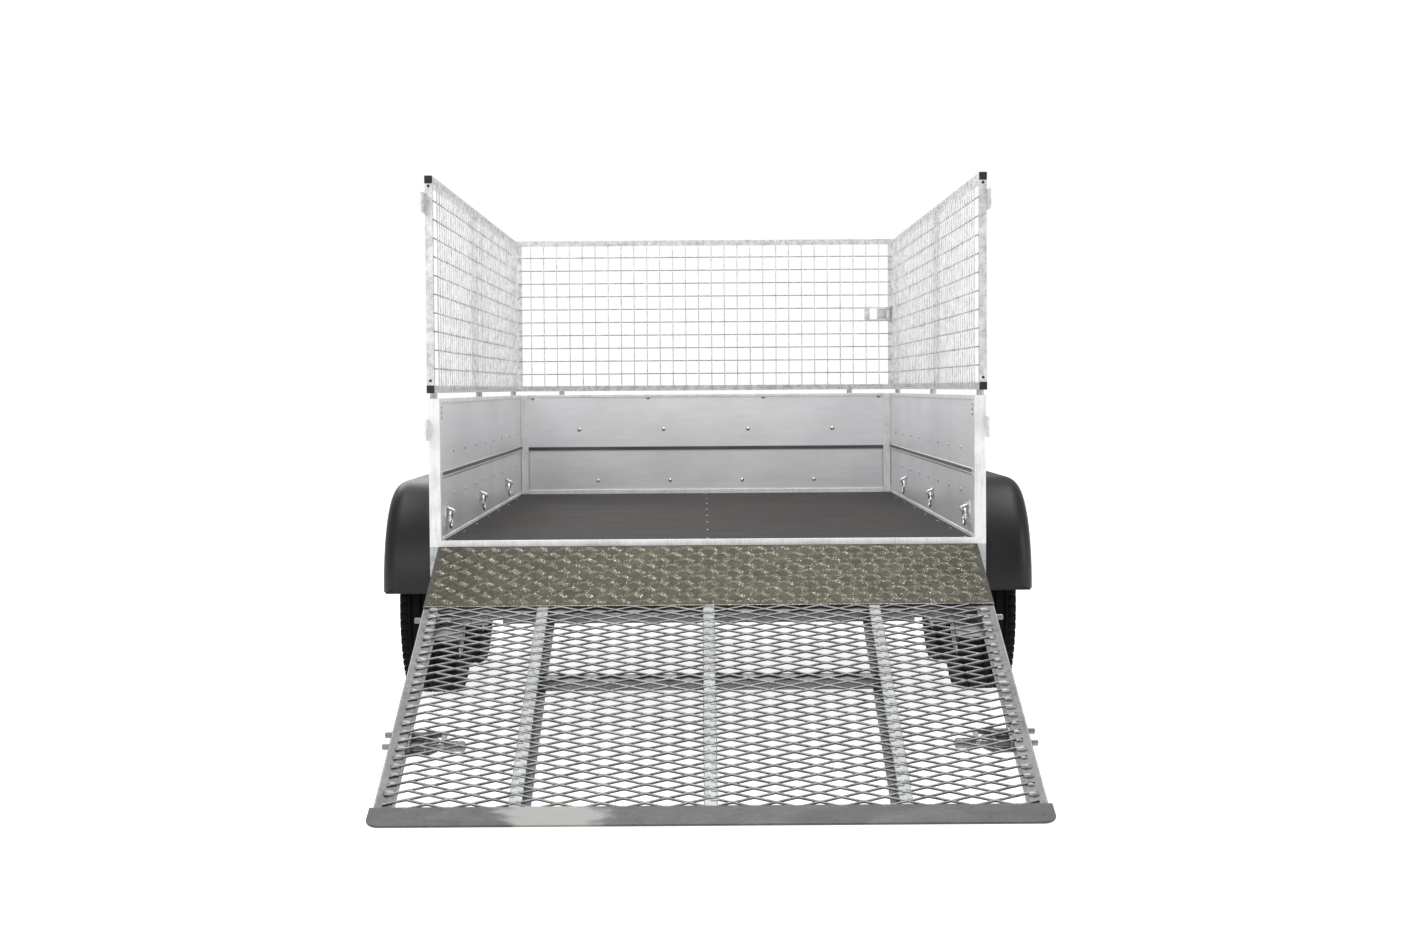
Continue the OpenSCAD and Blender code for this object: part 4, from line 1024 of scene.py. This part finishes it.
        for body in ("bolt_lower_left", "bolt_lower_right", "bolt_upper_left", "bolt_upper_right"):
            node = "ramp_" + body
            low, high = local_box(node, RAMP)
            side = -1 if "left" in body else 1
            n, tip = (low.z + high.z) / 2, side * max(abs(low.x), abs(high.x))
            inner, tail = side * min(abs(low.x), abs(high.x)), side * 0.6
            twin = "upper" in body
            line = low.y + 0.012
            bolt = Form("sliding_" + body, RAMP)
            for y in ([line, line + 0.05] if twin else [line]):
                bolt.rod((tail, y, n), (tip, y, n), 0.007, 0.002)
            bolt.rod((inner, line, n), (tail, line, n), 0.012, 0.004)
            for k in range(4):
                x = inner + side * (0.008 + 0.009 * k)
                bolt.rod((x, line, n), (x + side * 0.004, line, n), 0.0126, 0.0012)
            if twin:
                bolt.block((tail, line - 0.008, n - 0.005),
                           (tail + side * 0.01, line + 0.058, n + 0.005))
            bolt.done(body, "fastener", replaces=[node], material="bolt", smooth=40)
            middle = line + (0.025 if twin else -0.034)
            carrier = [(x, middle + d) for x, d in ((half - 0.03, -0.04), (half - 0.03, 0.04),
                                                    (half - 0.09, 0.04),
                                                    (half - 0.105, 0.028), (half - 0.105, -0.024),
                                                    (half - 0.085, -0.04))]
            plate = Form("carrier_" + body, RAMP)
            plate.ribbon([[(side * x, y, foot + z) for x, y in carrier] for z in (-0.0032, -0.0002)])
            plate.done("ramp", "galvanised_dark", bevel=0.0008, material="bolt")


class TRAILER_OT_mudguards(TrailerOperator, bpy.types.Operator):
    """Mould the two mudguards over the tandem wheels"""
    bl_idname = "trailer.mudguards"
    bl_label = "Mudguards"

    def build(self, scene):
        sizes = scene.trailer_guard
        r, t = sizes.corner, sizes.thickness
        arch = 0.3
        for name, side in SIDES.items():
            low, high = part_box("mudguard_" + name)
            near, far = sorted((abs(low.x), abs(high.x)))
            outer = [(near, 0.04), (near, 0.003), (near + 0.003, 0)]
            outer += [(near + 0.03, 0), (near + 0.034, -0.0015), (near + 0.09, -0.0015), (near + 0.094, 0)]
            outer += [(x, d + r) for x, d in ((far - r + r * math.sin(math.radians(a)),
                                               -r * math.cos(math.radians(a)))
                                              for a in range(0, 91, 10))]
            outer += [(far - 0.002, r + 0.008), (far, r + 0.012), (far, r + 0.020), (far - 0.003, r + 0.023),
                      (far - 0.008, r + 0.021)]
            inner = [(far - 0.006, r + 0.016), (far - t - 0.002, r + 0.004)]
            inner += [(far - r + (r - t) * math.sin(math.radians(a)), r - (r - t) * math.cos(math.radians(a)))
                      for a in range(90, -1, -15)]
            inner += [(near + t, t), (near + t, 0.04)]
            path = [(low.y, low.z + (high.z - arch - low.z) * k / 4, 1, 0) for k in range(4)]
            path += [(low.y + arch + arch * math.cos(a), high.z - arch + arch * math.sin(a), -math.cos(a),
                      -math.sin(a))
                     for a in (math.radians(180 - 90 * k / 18) for k in range(19))]
            path += [(high.y - arch + arch * math.cos(a), high.z - arch + arch * math.sin(a), -math.cos(a),
                      -math.sin(a))
                     for a in (math.radians(90 - 90 * k / 18) for k in range(19))]
            path += [(high.y, low.z + (high.z - arch - low.z) * (3 - k) / 4, -1, 0) for k in range(4)]
            guard = Form("guard_" + name)
            guard.ribbon([[(side * x, y + ny * d, z + nz * d) for x, d in outer + inner] for y, z, ny,
                          nz in path])
            for y, turn in ((low.y, 1), (high.y, -1)):
                guard.block((side * (near + 0.002), y - turn * 0.001,
                             low.z - 0.0015),
                            (side * (far - 0.012), y + turn * 0.012,
                             low.z + 0.003))
            guard.done("trailer", "mudguard", replaces=["mudguard_" + name], smooth=50)


class TRAILER_OT_wheels(TrailerOperator, bpy.types.Operator):
    """Build the tyres with their grooves and the pressed wheels with their nuts"""
    bl_idname = "trailer.wheels"
    bl_label = "Wheels"

    def build(self, scene):
        blocks = shoulder_blocks()
        for name in WHEELS:
            side = -1 if "left" in name else 1
            low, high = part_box("tyre_" + name)
            centre = (low + high) / 2
            radius, half = (high.z - low.z) / 2, (high.x - low.x) / 2
            axis = x_axis(centre, side)
            tyre = Form("rubber_" + name)
            tread = []
            for groove in (-0.042, -0.0145, 0.0145, 0.042):
                tread += [(radius - abs(groove) * 0.03, groove - 0.004), (radius - 0.008, groove - 0.0032),
                          (radius - 0.008, groove + 0.0032), (radius - abs(groove) * 0.03, groove + 0.004)]
            wall = [(radius - 0.004, half - 0.020), (radius - 0.010, half - 0.013),
                    (radius - 0.020, half - 0.008),
                    (radius - 0.034, half - 0.004), (radius - 0.037, half - 0.0055), (radius - 0.050, half),
                    (radius - 0.068, half - 0.001), (radius - 0.072, half - 0.003),
                    (radius - 0.088, half - 0.011),
                    (radius - 0.094, half - 0.018), (radius - 0.110, half - 0.021),
                    (radius - 0.117, half - 0.030)]
            hollow = [(radius - 0.110, half - 0.036), (radius - 0.060, half - 0.010),
                      (radius - 0.026, half - 0.017),
                      (radius - 0.014, half - 0.030)]
            hollow = [(a, -b) for a, b in hollow] + [(a, b) for a, b in reversed(hollow)]
            tyre.lathe([(a, -b) for a, b in reversed(wall)] + tread + wall
                       + [(a, b) for a, b in reversed(hollow)], axis, loop=True, steps=80)
            tyre.done("wheel_" + name, "tyre", replaces=["tyre_" + name], smooth=28)
            for edge in (-1, 1):
                mesh = blocks.grow(Radius=radius - 0.0105, Lean=-0.42 * edge)
                mesh.transform(Matrix.Translation(centre + Vector((edge * (half - 0.019), 0, 0)))
                               @ Matrix.Rotation(0.03 * edge, 4, "X"))
                place_piece(f"shoulder_{name}_{'out' if edge == side else 'in'}", mesh, "wheel_" + name)

            face = 0.028
            disc = bmesh.new()
            dish = [(0.030, 0.004), (0.052, 0.004), (0.064, 0.006), (0.076, 0.014), (0.090, 0.016),
                    (0.112, 0.008),
                    (0.128, -0.002), (0.145, -0.012), (0.158, -0.016)]
            sectors = 72
            rings = [[disc.verts.new(axis @ Vector((r * math.cos(a), r * math.sin(a), face + h)))
                      for a in around(sectors)] for r, h in dish]
            for i in range(len(dish) - 1):
                for k in range(sectors):
                    if i in (5, 6) and k % 9 in (3, 4, 5):
                        continue
                    disc.faces.new([rings[i][k], rings[i][(k + 1) % sectors], rings[i + 1][(k + 1) % sectors],
                                    rings[i + 1][k]])
            bmesh.ops.recalc_face_normals(disc, faces=disc.faces)
            mesh = bpy.data.meshes.new("disc")
            disc.to_mesh(mesh)
            disc.free()
            pressed = applied(mesh, ("SOLIDIFY", {"thickness": 0.004, "offset": 0}),
                              ("BEVEL", {"width": 0.001, "segments": 2, "limit_method": "ANGLE",
                                         "angle_limit": math.radians(60)}))
            rim = Form("rim_" + name)
            rim.shell.from_mesh(pressed)
            bpy.data.meshes.remove(pressed)
            bead = radius - 0.117
            outer = [(bead + 0.010, -0.066), (bead + 0.011, -0.064), (bead, -0.060), (bead - 0.001, -0.046),
                     (bead - 0.012, -0.036), (bead - 0.014, 0.010), (bead - 0.004, 0.024),
                     (bead - 0.001, 0.046),
                     (bead, 0.060), (bead + 0.011, 0.064), (bead + 0.010, 0.066)]
            rim.lathe(outer + [(a - 0.004, b * 0.985) for a, b in reversed(outer)], axis, loop=True, steps=72)
            for k in range(4):
                spot = axis @ Matrix.Rotation(math.radians(45 + 90 * k), 4,
                                              "Z") @ Matrix.Translation((0.05, 0, face))
                rim.lathe([(0, 0.002), (0.012, 0.002), (0.012, 0.004), (0.0095, 0.008), (0.0095, 0.016),
                           (0.0085, 0.018), (0, 0.018)], spot, steps=6)
            rim.lathe([(0, -0.1), (0.033, -0.1), (0.034, -0.09), (0.034, -0.002), (0.062, 0), (0.062, 0.001),
                       (0.03, 0.005), (0.027, 0.008), (0.0265, 0.022), (0.022, 0.0265), (0, 0.028)],
                      axis @ Matrix.Translation((0, 0, face - 0.002)), steps=40)
            rim.pipe([axis @ Vector((bead - 0.02 + 0.006 * k, 0, 0.03 + 0.004 * k)) for k in range(5)], 0.004,
                     8)
            rim.done("wheel_" + name, "rim", replaces=["wheel_" + name], smooth=32)


class TRAILER_OT_running_gear(TrailerOperator, bpy.types.Operator):
    """Add the rear lamps and the axle clamps"""
    bl_idname = "trailer.running_gear"
    bl_label = "Lamps and axles"

    def build(self, scene):
        housing, lenses, plates = Form("lamp_housings"), Form("lamp_lenses"), Form("lamp_plates")
        plates.pair((0.43, REAR_Y, 0.322), (0.706, REAR_Y + 0.003, 0.418))
        housing.pair((0.544, REAR_Y - 0.022, 0.326), (0.694, REAR_Y, 0.42))
        housing.pair((0.438, REAR_Y - 0.006, 0.343), (0.502, REAR_Y, 0.402))
        for start, stop in ((0.549, 0.596), (0.598, 0.642), (0.644, 0.689)):
            lenses.pair((start, REAR_Y - 0.04, 0.331), (stop, REAR_Y - 0.02, 0.415))
        lenses.pair((0.443, REAR_Y - 0.010, 0.348), (0.497, REAR_Y - 0.004, 0.397))
        housing.done("trailer", "grip", bevel=0.003, replaces=["rear_lamps"], material="plug")
        lenses.done("trailer", "lamp", bevel=0.004, segments=3)
        plates.done("trailer", "galvanised", bevel=0.0008)
        heads = []
        for node in ("suspension_arm_rear_left", "suspension_arm_front_left"):
            low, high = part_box(node)
            for x in (-0.62, -0.58, 0.58, 0.62):
                heads += [(x, high.y - 0.031 + step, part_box("axle_beams")[0].z) for step in (-0.018, 0.018)]
        mesh = studs("fastener").grow(heads, Radius=0.007, Height=0.006, Washer=1.5, Turn=(math.pi, 0.0, 0.0))
        place_piece("axle_bolts", mesh, "trailer")


class TRAILER_OT_drawbar(TrailerOperator, bpy.types.Operator):
    """Build the ball coupling, its lever and the jockey wheel"""
    bl_idname = "trailer.drawbar"
    bl_label = "Drawbar"

    def build(self, scene):
        low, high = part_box("coupling_body")
        axis_z = 0.434
        cup_y, cup_r = high.y - 0.034, 0.034
        body = Form("coupling_head")
        along = Matrix.Translation((0, low.y, axis_z)) @ Matrix.Rotation(math.radians(-90), 4, "X")
        run = cup_y - low.y
        body.lathe([(0, 0), (0.024, 0), (0.024, run * 0.55), (0.019, run * 0.62), (0.021, run * 0.9),
                    (0.024, run),
                    (0, run + 0.004)], along)
        for step in (0.03, 0.07):
            body.rod((-0.031, low.y + step, axis_z), (0.031, low.y + step, axis_z), 0.006, 0.001, 6)
        cup = Matrix.Translation((0, cup_y, low.z))
        dome = [(cup_r * math.cos(math.radians(a)), high_z) for a, high_z in
                ((a, 0.030 + 0.026 * math.sin(math.radians(a))) for a in range(0, 90, 15))]
        body.lathe([(0.0252, 0), (0.031, 0), (cup_r, 0.003)] + dome + [(0, 0.056), (0, 0.034), (0.012, 0.034),
                                                                       (0.0252, 0.026)], cup)
        body.pair((0.012, high.y - 0.124, 0.454), (0.018, high.y - 0.096, 0.484))
        body.done("trailer", "galvanised", replaces=["coupling_body"], smooth=40)
        low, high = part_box("coupling_handle")
        lever = Form("coupling_lever_arm")
        lever.rod((-0.0115, high.y - 0.011, low.z + 0.011), (0.0115, high.y - 0.011, low.z + 0.011), 0.011,
                  0.0015)
        lever.ribbon([[(x, y, z + lift) for x,
                       z in ((-0.0105, -0.0035), (0.0105, -0.0035), (0.0105, 0.0035), (-0.0105, 0.0035))]
                      for y, lift in ((high.y - 0.011, high.z - 0.012), (high.y - 0.06, high.z - 0.010),
                                      (high.y - 0.13, high.z - 0.010))])
        lever.rod((0, high.y - 0.12, high.z - 0.009), (0, low.y, high.z - 0.009), 0.0105, 0.005)
        lever.done("coupling_lever", "grip", replaces=["coupling_handle"], smooth=40)

        low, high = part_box("jockey_wheel")
        centre, radius = (low + high) / 2, (high.z - low.z) / 2
        wheel = Form("jockey_tread")
        wheel.lathe([(0.00805, -0.028), (0.018, -0.028), (0.021, -0.026), (0.022, -0.012), (0.045, -0.007),
                     (0.060, -0.012),
                     (0.063, -0.020), (0.072, -0.024), (0.086, -0.025), (0.095, -0.021),
                     (radius - 0.001, -0.013),
                     (radius, -0.008), (radius, 0.008), (radius - 0.001, 0.013), (0.095, 0.021),
                     (0.086, 0.025),
                     (0.072, 0.024), (0.063, 0.020), (0.060, 0.012), (0.045, 0.007), (0.022, 0.012),
                     (0.021, 0.026),
                     (0.018, 0.028), (0.00805, 0.028)], x_axis(centre), loop=True, steps=56)
        wheel.done("jockey_roller", "jockey_tyre", replaces=["jockey_wheel"], smooth=30)
        low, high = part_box("jockey_tube")
        spot = Matrix.Translation(((low.x + high.x) / 2, (low.y + high.y) / 2, low.z))
        tall = high.z - low.z
        tube = Form("jockey_leg")
        tube.lathe([(0.021, 0), (0.0235, 0), (0.024, 0.001), (0.024, tall - 0.002), (0.022, tall), (0, tall),
                    (0, tall - 0.004), (0.021, tall - 0.004)], spot, loop=False, steps=40)
        tube.done("jockey_post", "galvanised", replaces=["jockey_tube"], smooth=40)
        low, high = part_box("jockey_crank")
        spot = Vector((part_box("jockey_tube")[0].x + 0.024, (low.y + high.y) / 2, low.z))
        crank = Form("jockey_crank_handle")
        crank.lathe([(0, 0), (0.015, 0), (0.016, 0.001), (0.016, 0.011), (0.013, 0.014), (0.008, 0.015),
                     (0, 0.015)],
                    Matrix.Translation(spot))
        crank.pipe([spot + Vector(p) for p in ((0, 0, 0.012), (0.01, 0, 0.0165), (0.03, 0, 0.018),
                                               (0.075, 0, 0.018),
                                                (0.085, 0, 0.020), (0.09, 0, 0.028), (0.09, 0, 0.05))], 0.006,
                                                10)
        crank.done("jockey_handle", "fastener", replaces=["jockey_crank"], smooth=40)
        knob = Form("jockey_knob")
        knob.lathe([(0, 0), (0.008, 0), (0.011, 0.004), (0.0095, 0.02), (0.011, 0.05), (0.010, 0.056),
                    (0.005, 0.06),
                    (0, 0.06)], Matrix.Translation(spot + Vector((0.09, 0, 0.03))), steps=24)
        knob.done("jockey_handle", "grip", smooth=60)


class TRAILER_PT_panel(bpy.types.Panel):
    bl_label = "Livestock trailer"
    bl_idname = "TRAILER_PT_panel"
    bl_space_type = "VIEW_3D"
    bl_region_type = "UI"
    bl_category = "Trailer"

    def draw(self, context):
        for group in SETTINGS:
            for key in getattr(context.scene, group).bl_rna.properties.keys():
                if key not in ("rna_type", "name"):
                    self.layout.prop(getattr(context.scene, group), key)
        for operator in OPERATORS:
            self.layout.operator(operator.bl_idname)


SETTINGS = {"trailer_ramp": TrailerRampSizes, "trailer_mesh": TrailerMeshSizes,
            "trailer_guard": TrailerGuardSizes,
            "trailer_stage": TrailerStageSettings}
OPERATORS = [TRAILER_OT_stage, TRAILER_OT_nodes, TRAILER_OT_bed, TRAILER_OT_mesh_sides, TRAILER_OT_ramp,
             TRAILER_OT_mudguards, TRAILER_OT_wheels, TRAILER_OT_running_gear, TRAILER_OT_drawbar]
CLASSES = [*SETTINGS.values(), *OPERATORS, TRAILER_PT_panel]


def register():
    for one in CLASSES:
        bpy.utils.register_class(one)
    for name, kind in SETTINGS.items():
        setattr(bpy.types.Scene, name, bpy.props.PointerProperty(type=kind))


def unregister():
    for name in SETTINGS:
        delattr(bpy.types.Scene, name)
    for one in reversed(CLASSES):
        bpy.utils.unregister_class(one)


def main():
    register()
    for operator in OPERATORS:
        getattr(bpy.ops.trailer, operator.bl_idname.split(".")[1])()


if __name__ == "__main__":
    main()
